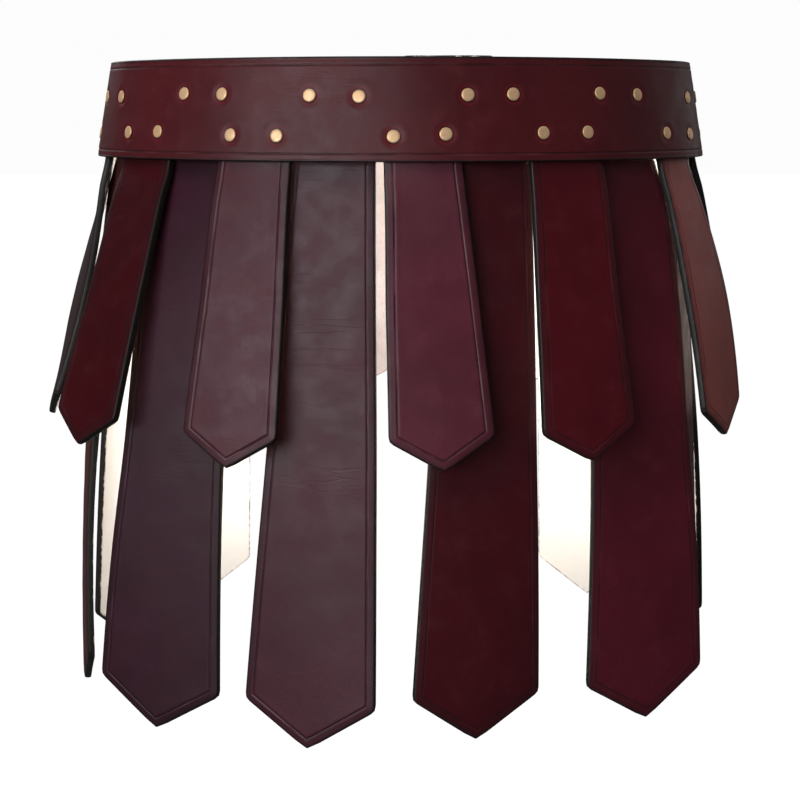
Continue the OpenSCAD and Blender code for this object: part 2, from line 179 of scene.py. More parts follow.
class Tree:
    """Short names for building a material's nodes."""

    def __init__(self, name):
        self.mat = bpy.data.materials.new(name)
        self.mat.use_nodes = True
        self.nt = self.mat.node_tree
        self.nt.nodes.clear()
        self.out = self.nt.nodes.new("ShaderNodeOutputMaterial")
        self.bsdf = self.nt.nodes.new("ShaderNodeBsdfPrincipled")
        self.nt.links.new(self.bsdf.outputs[0], self.out.inputs[0])

    def node(self, kind, **props):
        n = self.nt.nodes.new(kind)
        for k, v in props.items():
            setattr(n, k, v)
        return n

    def put(self, socket, value):
        if isinstance(value, bpy.types.NodeSocket):
            self.nt.links.new(value, socket)
        elif isinstance(value, (tuple, list)) and len(value) == 3 and socket.type == "RGBA":
            socket.default_value = (*value, 1)
        else:
            socket.default_value = value

    def attr(self, name, vector=False):
        n = self.node("ShaderNodeAttribute", attribute_name=name)
        return n.outputs["Vector" if vector else "Fac"]

    def coord(self):
        return self.node("ShaderNodeTexCoord").outputs["Object"]

    def scaled(self, vec, x, y, z, shift=(0, 0, 0)):
        n = self.node("ShaderNodeMapping")
        self.put(n.inputs["Vector"], vec)
        n.inputs["Scale"].default_value = (x, y, z)
        n.inputs["Location"].default_value = shift
        return n.outputs[0]

    def noise(self, vec, scale, detail=3.0, rough=0.55, distortion=0.0):
        n = self.node("ShaderNodeTexNoise")
        self.put(n.inputs["Vector"], vec)
        n.inputs["Scale"].default_value = scale
        n.inputs["Detail"].default_value = detail
        n.inputs["Roughness"].default_value = rough
        n.inputs["Distortion"].default_value = distortion
        return n.outputs["Fac"]

    def voronoi(self, vec, scale, feature="F1", smooth=None):
        n = self.node("ShaderNodeTexVoronoi", feature=feature)
        self.put(n.inputs["Vector"], vec)
        n.inputs["Scale"].default_value = scale
        return n.outputs["Distance"]

    def ramp(self, fac, lo, hi, a=0.0, b=1.0, smooth=True):
        n = self.node("ShaderNodeMapRange")
        if smooth:
            n.interpolation_type = "SMOOTHSTEP"
        self.put(n.inputs["Value"], fac)
        n.inputs["From Min"].default_value = lo
        n.inputs["From Max"].default_value = hi
        n.inputs["To Min"].default_value = a
        n.inputs["To Max"].default_value = b
        return n.outputs[0]

    def math(self, op, a, b=0.0, c=None):
        n = self.node("ShaderNodeMath", operation=op)
        self.put(n.inputs[0], a)
        self.put(n.inputs[1], b)
        if c is not None:
            self.put(n.inputs[2], c)
        return n.outputs[0]

    def mix(self, fac, a, b, blend="MIX"):
        n = self.node("ShaderNodeMix", data_type="RGBA", blend_type=blend)
        self.put(n.inputs[0], fac)
        self.put(n.inputs[6], a)
        self.put(n.inputs[7], b)
        return n.outputs[2]

    def bump(self, height, strength, distance, normal=None):
        n = self.node("ShaderNodeBump")
        self.put(n.inputs["Height"], height)
        n.inputs["Strength"].default_value = strength
        n.inputs["Distance"].default_value = distance
        if normal is not None:
            self.put(n.inputs["Normal"], normal)
        return n.outputs[0]

    def set(self, **sockets):
        for k, v in sockets.items():
            self.put(self.bsdf.inputs[k.replace("_", " ")], v)
        return self.mat


EDGE_BLACK = (0.013, 0.011, 0.010)


def grain_leather(name, base, deep, pale, rough=0.4, wrinkle=0.25, line_shine=0.4, rim=1.0, rings=False,
                  spec=0.42):
    """Dyed grain side: mottled colour, pores, a few creases, a tooled line with
    painted shade in its groove and a painted highlight beside it (partly rubbed wear), and black burnished edges."""
    t = Tree(name)
    p = t.attr("place", True)
    edge = t.attr("edge")
    line = t.attr("line")
    big = t.noise(p, 14, 3, 0.5)
    mid = t.noise(p, 62, 4, 0.6)
    fine = t.noise(p, 420, 3, 0.6)
    c = t.mix(t.ramp(big, 0.34, 0.68), deep, base)
    c = t.mix(t.ramp(mid, 0.5, 0.78, 0, 0.65), c, pale)
    c = t.mix(t.ramp(fine, 0.38, 0.72, 0, 0.5), c, deep)
    # faint rubbed streaks along the leather
    streak = t.noise(t.scaled(p, 260, 12, 1), 1.0, 3, 0.6)
    c = t.mix(t.ramp(streak, 0.6, 0.78, 0, 0.22), c, pale)
    # the tooled line: painted shade darkens its groove where it isn't rubbed, and a painted highlight, partly rubbed
    # wear, lightens the margin just outside it
    wear_and_shine = t.ramp(t.noise(p, 34, 2, 0.5), 0.44, 0.64)
    off = t.math("ABSOLUTE", line)
    c = t.mix(t.math("MULTIPLY", t.ramp(off, 0.2, 1.0, 0.6, 0), t.math("SUBTRACT", 1.0, wear_and_shine)), c,
              (0.012, 0.006, 0.007))
    # painted highlight on the groove's outer slope, shown where the wear mask is high
    shine = t.ramp(t.math("ABSOLUTE", t.math("ADD", line, 0.55)), 0.05, 0.55, 1.0, 0)
    shine = t.math("MULTIPLY", shine, wear_and_shine)
    c = t.mix(t.math("MULTIPLY", shine, line_shine), c, (0.13, 0.105, 0.11))
    # burnished edge, with a soft uneven border on the face
    wobble = t.math("ADD", edge, t.ramp(t.noise(p, 130, 2, 0.5), 0.2, 0.8, -0.4, 0.4))
    c = t.mix(t.ramp(wobble, 0.8 * rim, 5.8 * rim, 0.5, 0), c, (0.02, 0.009, 0.011))
    c = t.mix(t.ramp(wobble, 0.25 * rim, 1.15 * rim, 1, 0), c, EDGE_BLACK)
    r = t.ramp(mid, 0.3, 0.7, rough - 0.05, rough + 0.08)
    if rings:
        # painted glow: a bright red ring round each rivet; painted shade: a dark ring where the head meets the
        # leather
        rivet_dist = t.attr("rivet_dist")
        c = t.mix(t.ramp(t.math("ABSOLUTE", t.math("SUBTRACT", rivet_dist, 5.6)), 0.2, 1.6, 0.45, 0), c,
                  (0.17, 0.006, 0.016))
        c = t.mix(t.ramp(rivet_dist, 4.2, 5.4, 0.85, 0), c, (0.014, 0.004, 0.004))
    # pores, then a few creases that run across the leather
    pores = t.voronoi(p, 1250)
    grain = t.noise(p, 2300, 2, 0.6)
    tiny = t.math("ADD", t.ramp(pores, 0.0, 0.6, 0, 1), t.math("MULTIPLY", grain, 0.6))
    across = t.noise(t.scaled(p, 9, 62, 1), 1.0, 3, 0.6, 0.3)
    crease = t.ramp(t.math("ABSOLUTE", t.math("SUBTRACT", across, 0.5)), 0.0, 0.035, 1, 0)
    patch = t.ramp(t.noise(p, 15, 2, 0.5, 0.4), 0.48, 0.62)
    split = t.node("ShaderNodeSeparateXYZ")
    t.put(split.inputs[0], p)
    patch = t.math("MULTIPLY", patch, t.ramp(split.outputs["Y"], 0.17, 0.24, 1, 0.1))
    crease = t.math("SUBTRACT", 1.0, t.math("MULTIPLY", crease, patch))
    n = t.bump(t.noise(p, 20, 2, 0.5), 0.2, 0.0022)
    n = t.bump(t.noise(p, 75, 3, 0.55), 0.2, 0.0007, n)
    if wrinkle:
        n = t.bump(crease, wrinkle, 0.0004, n)
    n = t.bump(tiny, 0.22, 0.00011, n)
    t.set(Base_Color=c, Roughness=r, Normal=n)
    t.bsdf.inputs["Specular IOR Level"].default_value = spec
    t.bsdf.inputs["IOR"].default_value = 1.5
    t.bsdf.inputs["Coat Weight"].default_value = 0.04
    t.bsdf.inputs["Coat Roughness"].default_value = 0.3
    return t.mat


def flesh_leather(name, base=(0.96, 0.93, 0.88), deep=(0.89, 0.82, 0.72)):
    """Unfinished side: pale, with short fibres, and black along the edges."""
    t = Tree(name)
    p = t.attr("place", True)
    edge = t.attr("edge")
    big = t.noise(p, 20, 3, 0.55)
    fib = t.noise(t.scaled(p, 900, 340, 1), 1.0, 4, 0.7, 0.6)
    spot = t.noise(p, 300, 3, 0.6)
    c = t.mix(t.ramp(big, 0.3, 0.7), base, deep)
    c = t.mix(0.5, c, base)
    c = t.mix(t.ramp(fib, 0.45, 0.75, 0, 0.5), c, deep)
    c = t.mix(t.ramp(spot, 0.62, 0.8, 0, 0.4), c, deep)
    wobble = t.math("ADD", edge, t.ramp(t.noise(p, 190, 2, 0.5), 0.2, 0.8, -0.6, 0.6))
    # dye that crept round the edge, then the burnish itself
    c = t.mix(t.ramp(wobble, 0.4, 2.2, 0.4, 0), c, (0.30, 0.14, 0.12))
    c = t.mix(t.ramp(wobble, 0.2, 0.7, 1, 0), c, EDGE_BLACK)
    n = t.bump(fib, 0.5, 0.00035)
    n = t.bump(t.noise(p, 1500, 2, 0.7), 0.35, 0.0002, n)
    t.set(Base_Color=c, Roughness=t.ramp(spot, 0.3, 0.7, 0.82, 0.96), Normal=n)
    t.bsdf.inputs["Specular IOR Level"].default_value = 0.3
    t.bsdf.inputs["Sheen Weight"].default_value = 0.25
    t.bsdf.inputs["Sheen Roughness"].default_value = 0.5
    return t.mat


def metal(name, base, dark, rough, scale=420.0, metallic=1.0):
    t = Tree(name)
    p = t.coord()
    a = t.noise(p, scale, 3, 0.6)
    b = t.noise(p, scale * 0.3, 2, 0.5)
    c = t.mix(t.ramp(a, 0.45, 0.8, 0, 0.6), base, dark)
    c = t.mix(t.ramp(b, 0.5, 0.8, 0, 0.4), c, dark)
    n = t.bump(t.noise(p, scale * 2.2, 3, 0.6), 0.25, 0.00008)
    t.set(Base_Color=c, Roughness=t.ramp(a, 0.3, 0.7, rough - 0.06, rough + 0.1), Normal=n)
    t.bsdf.inputs["Metallic"].default_value = metallic
    return t.mat


copper = metal("copper", (1.0, 0.66, 0.38), (0.90, 0.45, 0.22), 0.42, metallic=0.5)
steel = metal("buckle_steel", (0.64, 0.62, 0.59), (0.36, 0.34, 0.32), 0.3)
flesh = flesh_leather("flesh_side")
# a darker, pinker copy of the flesh side: partly its own tone, partly painted shade for the strap near the back
flesh_warm_shaded = flesh_leather("flesh_side_warm_shaded", (0.42, 0.36, 0.34), (0.24, 0.17, 0.14))
flesh_front = flesh_leather("flesh_side_front", (0.66, 0.51, 0.38), (0.45, 0.30, 0.20))

# ----------------------------------------------------------------- the straps

# place, outward slope and lean as in the CAD source; then how the soft leather
# differs from the flat plate: twist at the foot and at the middle (degrees),
# bow outwards, shift along the belt at the foot and at the middle, outward
# shift at the foot, extra width at the top, left and right, and how much
# shorter it is (mm)
SHORT = [
    (-530, 12, 0, 2, 0, 1.0, 0, 0, 0, 0, 0, 0), (-444, 12, 0.5, -3, 0, 1.5, 0, 0, 0, 0, 0, 0),
    (-357, 13, 0, 2, 0, 1.0, 0, 0, 0, 0, 0, 0),
    (-271, 12, 0, 3.5, 11.5, 0.0, 1.8, -2.0, 8.8, 0.5, 4.5, 3.0),
    (-180, 17, 0.5, 0.5, -0.3, 0.9, -3.0, -0.4, 3.4, 3.2, -0.5, 0.7),
    (-88.5, 12.5, -0.5, -0.1, 1.2, 0.4, -1.0, -0.7, 0.1, 3.0, -1.6, 0.6),
    (14.5, 9.5, 3, 1.3, 2.8, -1.4, 2.5, 0.7, -1.4, -2.2, 0.3, 2.5),
    (106, 8, 2.5, -4.0, -0.6, 0.3, 1.1, 1.1, -0.3, -1.2, 4.1, 3.0),
    (208, 11.5, 1.5, 7.0, -1.0, 4.4, 2.5, 4.6, 3.6, -6.6, -5.0, 4.3),
    (286, 12, 0, -3, 0, 1.2, 0, 0, 0, 0, 0, 0), (371, 12, 0, 3, 0, 1.5, 0, 0, 0, 0, 0, 0),
    (455.5, 12, 0, -2, 0, 1.0, 0, 0, 0, 0, 0, 0),
]
LONG = [
    (-485, 8, 0, 3, 0, 2.0, 0, 0, 0, 2, 2, 0), (-400, 8, 0, -4, 0, 2.0, 0, 0, 0, 2, 2, 0),
    (-314, 7, 0, 5.7, -1.4, 2.2, -2.6, 2.2, -9.0, 0, 0, 0),
    (-226, 7, 0, -11.6, -7.0, 10.4, 0.0, -5.5, -2.2, 12.0, 0, 0.8),
    (-128, 10, -1, 9.7, 7.6, 4.0, 0.8, -6.0, -3.1, 16.5, -0.7, -0.4),
    (-38.5, 8.5, -1, -7.4, 2.3, 0.6, -2.7, -0.6, 0.0, 3.2, -1.6, 0.7),
    (56.5, 4.5, -2, 6.5, -3.6, 0.7, 0.7, 1.7, -0.5, 1.4, 2.5, 0.4),
    (149, 7, 1, -12.0, -10.8, 4.0, -1.4, 8.4, -3.8, -1.1, 17.5, -0.9),
    (243, 3.5, 0, 3, 0, 1.5, 0, 0, 0, 2, 2, 0), (329, 7, 0, -5.0, 2.9, 4.0, 2.3, -3.0, -8.0, 0.3, 0, 0),
    (413, 8, 0, 3, 0, 2.0, 0, 0, 0, 2, 2, 0),
]
SIZE = {"short": (50.0, 65.5, 169.5, 190.0), "long": (52.0, 86.0, 336.0, 364.0)}
ROOT_TOP = {"short": 25.5, "long": 50.0}
LINE_IN = 5.5
INSETS = [0, 0.2, 0.55, 1.05, 1.8, 2.8, 3.8, 4.5, 4.95, 5.25, 5.5, 5.75, 6.05, 6.5, 7.6]


def hinge(kind, s0):
    """Point and facing of a strap's hinge line, as in the CAD source."""
    depth = T * SEC + 0.1 + T / 2 + (T + 2.2 if kind == "long" else 0)
    side = on_side(s0)
    depth += (0.8 if side else 0.4) if kind == "short" else (3.4 if side else 1.2)
    x, y, n = (float(v[0]) for v in oval(np.array([s0])))
    o = BELT_H * TAN - depth
    return np.array([x + math.sin(n) * o, y - math.cos(n) * o, HINGE_Z]), n


class Strap:
    def __init__(self, kind, row):
        self.kind = kind
        (self.s0, flare, lean, twist, twist_mid, self.bow, self.slide, self.sway, self.kick,
         self.wl, self.wr, trim) = row
        self.flare, self.lean, self.twist, self.twist_mid = map(
            math.radians, (flare, lean, twist, twist_mid))
        self.wt, self.wb, self.ls, self.lt = SIZE[kind]
        self.ls -= trim
        self.lt -= trim
        self.P, self.n = hinge(kind, self.s0)
        g = self.lean
        turn = lambda x, y: (x * math.cos(g) - y * math.sin(g), -(x * math.sin(g) + y * math.cos(g)))
        self.SL = turn(-self.wb / 2, -self.ls)
        self.SR = turn(self.wb / 2, -self.ls)
        self.TIP = turn(0, -self.lt)
        self.vtop = -(ROOT_TOP[kind] - HALF - HINGE_Z) / COS
        self.r0 = R1 if on_side(self.s0) else R2

    def extra(self, v):
        return smoothstep((v + 12) / 12) * (1 - smoothstep(v / (0.62 * self.ls)))

    # edges of the outline, as x at a distance v below the hinge line
    def xl(self, v):
        k = (self.SL[0] + self.wt / 2) / self.SL[1]
        return -self.wt / 2 + k * np.maximum(v, 0) - self.wl * self.extra(v)

    def xr(self, v):
        k = (self.SR[0] - self.wt / 2) / self.SR[1]
        return self.wt / 2 + k * np.maximum(v, 0) + self.wr * self.extra(v)

    def foot(self, x):
        """v of the pointed end at x."""
        kl = (self.TIP[1] - self.SL[1]) / (self.TIP[0] - self.SL[0])
        kr = (self.TIP[1] - self.SR[1]) / (self.TIP[0] - self.SR[0])
        return np.minimum(self.SL[1] + kl * (x - self.SL[0]), self.SR[1] + kr * (x - self.SR[0]))

    def mid(self, u, v):
        """Middle surface of the leather, in the row frame, millimetres."""
        u, v = np.broadcast_arrays(np.asarray(u, float), np.asarray(v, float))
        # against the belt and on down its cone
        z = HINGE_Z - v * COS
        if self.kind == "short":
            d = np.full_like(v, 7.72)
        else:
            d = 7.72 + 7.25 * smoothstep((v + 38.5) / 9.5)
        o = (HALF - z) * TAN - d * SEC
        s = self.s0 + u * self.r0 / (self.r0 + o)
        x, y, n = oval(s)
        c = np.stack([x + np.sin(n) * o, y - np.cos(n) * o, z], -1)
        # the hanging part
        n0 = self.n
        ex = np.array([math.cos(n0), math.sin(n0), 0])
        out = np.array([math.sin(n0), -math.cos(n0), 0])
        zz = np.array([0, 0, 1.0])
        down = -zz * math.cos(self.flare) + out * math.sin(self.flare)
        nb = out * math.cos(self.flare) + zz * math.sin(self.flare)
        q = np.clip(v / self.ls, 0, 1.12)
        wave = np.sin(np.pi * np.clip(v / self.lt, 0, 1))
        uc = np.maximum(v, 0) * math.tan(self.lean)
        tau = self.twist * q ** 1.2 + self.twist_mid * wave
        du = u - uc
        uc = uc + self.slide * q + self.sway * wave
        cup = -0.7 * (du / 30.0) ** 2 * smoothstep(q * 2)
        lift = self.bow * wave + self.kick * q + cup
        f = (self.P + (uc + du * np.cos(tau))[..., None] * ex + v[..., None] * down
             + (lift - du * np.sin(tau))[..., None] * nb)
        k = smoothstep((v + 5) / 27.0)[..., None]
        return c * (1 - k) + f * k

    def surface(self, u, v, w):
        e = 0.4
        a = self.mid(u + e, v) - self.mid(u - e, v)
        b = self.mid(u, v + e) - self.mid(u, v - e)
        n = np.cross(b, a)
        n /= np.linalg.norm(n, axis=-1, keepdims=True)
        return self.mid(u, v) + n * np.asarray(w)[..., None]

    def build(self, name, body, mats, nodes, seed, depth=1.0):
        sh = (self.SL[1] + self.SR[1]) / 2
        slope = math.atan2(self.TIP[1] - sh, self.wb / 2)
        # levels: root, blade, then lines parallel to the point
        rows = [(self.vtop + i, 0.0) for i in (0, 0.22, 0.6, 1.15, 1.9)]
        n1 = 8 if self.kind == "short" else 15
        rows += [(self.vtop + 3 + (-8 - self.vtop - 3) * i / n1, 0.0) for i in range(n1 + 1)]
        rows += [(v, 0.0) for v in (-5.5, -3, -1, 1, 3, 5, 7.5, 10.5)]
        n2 = 20 if self.kind == "short" else 38
        last = sh - INSETS[-1] / math.cos(slope)
        for i in range(1, n2 + 1):
            v = 10.5 + (last - 10.5) * i / n2
            rows.append((v, float(smoothstep((v - (last - 75)) / 75))))
        rows += [(sh - i / math.cos(slope), 1.0) for i in INSETS[-2::-1]]
        lv = np.array([r[0] for r in rows])
        kp = np.array([r[1] for r in rows])
        # columns: insets from both sides, and even ones between
        inner = 9
        cols = [("l", i) for i in INSETS] + [("m", (i + 1) / (inner + 1)) for i in range(inner)] \
            + [("r", i) for i in reversed(INSETS)]
        U = np.zeros((len(rows), len(cols)))
        V = np.zeros_like(U)
        last_in = INSETS[-1]
        for j, (side, q) in enumerate(cols):
            v = lv.copy()
            for _ in range(12):
                lo, hi = self.xl(v), self.xr(v)
                if side == "l":
                    x = lo + q
                elif side == "r":
                    x = hi - q
                else:
                    x = lo + last_in + (hi - lo - 2 * last_in) * q
                new = lv + kp * (self.foot(x) - sh)
                if np.abs(new - v).max() < 1e-6:
                    break
                v = new
            U[:, j], V[:, j] = x, v

        def line_dist(x, y, a, b):
            """Distance inside the line from a to b, in outline coordinates."""
            dx, dy = b[0] - a[0], b[1] - a[1]
            return ((x - a[0]) * dy - (y - a[1]) * dx) / math.hypot(dx, dy)

        left, rite = U - self.xl(V), self.xr(V) - U
        fl = line_dist(U, V, self.SL, self.TIP)
        fr = -line_dist(U, V, self.SR, self.TIP)
        around = np.minimum(np.minimum(left, rite), np.minimum(fl, fr))
        around = np.maximum(around, 0)
        edge = np.maximum(np.minimum(around, V - self.vtop), 0)
        line = around - LINE_IN
        # corners of the outline a little rounded
        for c, o in ((self.SL, (1, -0.62)), (self.SR, (-1, -0.62)), (self.TIP, (0, -1))):
            dd = np.hypot(U - c[0], V - c[1])
            k = 0.75 * np.exp(-((dd / 2.2) ** 2))
            U += k * o[0] / math.hypot(*o)
            V += k * o[1] / math.hypot(*o)
        # the margin outside the tooled line falls away a little, then rounds over
        fold = lambda r: np.sqrt(np.clip(1 - (np.clip(r - edge, 0, r) / r) ** 2, 0, 1))
        h = 2.5 - 0.5 * np.clip(1 - edge / 5.2, 0, 1) ** 1.5 - 0.85 * (1 - fold(1.1))
        h_low = 2.5 - 0.6 * (1 - fold(0.8))
        groove = -0.5 * np.exp(-((line / 0.42) ** 2)) + 0.07 * np.exp(-(((np.abs(line) - 1.05) / 0.4) ** 2))
        groove = groove * smoothstep((V - self.vtop - 8) / 4) * depth
        # soft unevenness of the leather itself
        wave = 0.10 * np.sin(U * 0.11 + seed) * np.sin(V * 0.053 + seed * 1.7) \
            + 0.06 * np.sin(V * 0.21 + seed * 0.6 + U * 0.05)
        wave = wave * smoothstep(edge / 6)
        top = self.surface(U, V, h + groove + wave)
        low = self.surface(U, V, -h_low + wave)
        rr, cc = U.shape
        n = rr * cc
        verts = np.concatenate([top.reshape(-1, 3), low.reshape(-1, 3)])
        faces = grid_faces(rr, cc, 0, flip=True) + grid_faces(rr, cc, n, flip=False)
        index = [0] * ((rr - 1) * (cc - 1)) + [1] * ((rr - 1) * (cc - 1))
        # the rim between the two faces, with a line of points along its middle
        ring = [(0, j) for j in range(cc)] + [(i, cc - 1) for i in range(1, rr)] \
            + [(rr - 1, j) for j in range(cc - 2, -1, -1)] + [(i, 0) for i in range(rr - 2, 0, -1)]
        ids = [i * cc + j for i, j in ring]
        cen = top.reshape(-1, 3).mean(0)
        bulge = []
        for i in ids:
            a, b = verts[i], verts[i + n]
            bulge.append((a + b) / 2)
        bulge = np.array(bulge)
        # push the middle of the rim outwards, across the ring
        nxt = np.roll(bulge, -1, 0) - np.roll(bulge, 1, 0)
        thick = np.array([verts[i] - verts[i + n] for i in ids])
        side = np.cross(nxt, thick)
        side /= np.linalg.norm(side, axis=1, keepdims=True) + 1e-9
        if ((bulge - cen) * side).sum() < 0:
            side = -side
        bulge = bulge + side * 0.28
        m0 = len(verts)
        verts = np.concatenate([verts, bulge])
        k = len(ids)
        for a in range(k):
            b = (a + 1) % k
            faces.append((ids[a], ids[b], m0 + b, m0 + a))
            faces.append((m0 + a, m0 + b, ids[b] + n, ids[a] + n))
            index += [0, 0]
        flat = np.stack([U, V, np.full_like(U, seed * 137.0)], -1).reshape(-1, 3) / 1000
        place = np.concatenate([flat, flat + [0, 0, 0.05], flat[ids] + [0, 0, 0.01]])
        ed = np.concatenate([edge.ravel(), edge.ravel(), np.zeros(k)])
        li = np.concatenate([line.ravel(), np.full(n, 20.0), np.full(k, 20.0)])
        ob = make(name, verts, faces, mats, index, {"place": place, "edge": ed, "line": li})
        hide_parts(*nodes)
        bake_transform(ob)
        return ob


# colours of the straps, one per strap: partly each strap's own tone, partly painted light and shade, brighter or
# darker for how the lamps fall on it
def lot(r, g, b):
    return (r, g, b), (0.76 * r, 0.76 * g, 0.78 * b), (1.22 * r, 1.25 * g + 0.003, 1.25 * b + 0.004)


SHORT_DYE_AND_LIGHT = [
    (0.085, 0.0040, 0.0080), (0.090, 0.0090, 0.0150), (0.090, 0.0150, 0.0150), (0.030, 0.0085, 0.0090),
    (0.052, 0.0020, 0.0048), (0.080, 0.0100, 0.0205), (0.128, 0.0185, 0.0365), (0.102, 0.0044, 0.0104),
    (0.330, 0.0740, 0.0650), (0.080, 0.0070, 0.0120), (0.085, 0.0040, 0.0085), (0.100, 0.0120, 0.0220),
]
LONG_DYE_AND_LIGHT = [
    (0.085, 0.0070, 0.0140), (0.090, 0.0040, 0.0085), (0.060, 0.0070, 0.0150), (0.098, 0.0200, 0.0190),
    (0.042, 0.0066, 0.0170), (0.070, 0.0085, 0.0190), (0.074, 0.0036, 0.0085), (0.108, 0.0078, 0.0185),
    (0.085, 0.0070, 0.0130), (0.090, 0.0040, 0.0085), (0.075, 0.0080, 0.0150),
]
# how strong the painted highlight (partly rubbed wear) along the tooled line is, and how deep the line is
SHORT_LINE = [(0.4, 0.7), (0.3, 0.6), (0.4, 0.8), (0.2, 0.5), (0.12, 0.3), (0.75, 1.0), (0.7, 0.9), (0.2, 0.4),
              (0.2, 0.4), (0.3, 0.6), (0.4, 0.7), (0.5, 0.8)]
LONG_LINE = [(0.3, 0.6), (0.2, 0.5), (0.3, 0.6), (0.3, 0.6), (0.25, 0.6), (0.4, 0.7), (0.12, 0.3), (0.15, 0.35),
             (0.3, 0.6), (0.3, 0.5), (0.2, 0.6)]

for i, row in enumerate(SHORT):
    name = "short_strap_%02d" % (i + 1)
    # first value: painted highlight along the tooled line, partly rubbed wear; second: its depth
    shine_amt, depth = SHORT_LINE[i]
    mat = grain_leather("leather_" + name, *lot(*SHORT_DYE_AND_LIGHT[i]), rough=0.42, wrinkle=0.12, line_shine=shine_amt,
                        spec=0.22 if i == 4 else 0.42)
    # the first short strap gets the flesh side darkened with painted shade
    back = flesh_warm_shaded if i == 0 else flesh_front if abs(row[0]) < 230 else flesh
    Strap("short", row).build("hung_" + name, name, [mat, back], [name, "short_strap_roots"], 1.0 + i * 1.37, depth)
for i, row in enumerate(LONG):
    name = "long_strap_%02d" % (i + 1)
    # first value: painted highlight along the tooled line, partly rubbed wear; second: its depth
    shine_amt, depth = LONG_LINE[i]
    mat = grain_leather("leather_" + name, *lot(*LONG_DYE_AND_LIGHT[i]), rough=0.44, wrinkle=0.2 if i == 5 else 0.1,
                        line_shine=shine_amt, spec=0.28 if i == 4 else 0.42)
    back = flesh_front if abs(row[0]) < 200 else flesh
    Strap("long", row).build("hung_" + name, name, [mat, back], [name, "long_strap_roots"], 30.0 + i * 1.91, depth)

# ------------------------------------------------------------------- the belt

S_START = CLOSE + GAP / 2 - LOOP
S_END = CLOSE - GAP / 2
Z_LOW, Z_HIGH = 16.7 - HALF, 40.6 - HALF
# how far rivets are off their even places, along the belt and up it
NUDGE = {
    -164.6: (1.3, 1.0), -103.9: (-0.2, -0.7), -73.1: (0.3, -1.0), -0.9: (-1.2, -1.2), 29.9: (-1.2, 0.2),
    90.6: (-1.3, 0.8), 121.4: (-0.9, 1.0), 192.6: (-1.4, -0.1), 223.4: (-1.4, -1.0), -195.4: (0.4, 0.3),
    -143.4: (0.7, 0.9), -112.6: (0.1, 0.5), -53.9: (0.7, -0.5), -23.1: (0.3, -1.2), 41.1: (1.4, -0.2),
    71.9: (-1.0, 0.2), 133.6: (-1.3, 1.0), 164.4: (0.4, 0.4), 227.6: (-1.2, -1.0), -210.6: (0.5, -0.6),
}


def rivet_row(table, z):
    out = []
    for i, row in enumerate(table):
        for e in (-1, 1):
            s = row[0] + e * 15.4
            ds, dz = NUDGE.get(round(s, 1), (0.6 * math.sin(s * 1.3), 0.6 * math.cos(s * 2.1)))
            out.append((s + ds, z + dz))
    return out


RIVETS_LOW, RIVETS_HIGH = rivet_row(SHORT, Z_LOW), rivet_row(LONG, Z_HIGH)
BELT_IN = T * SEC

BELT_DYE = (0.088, 0.0076, 0.0118)


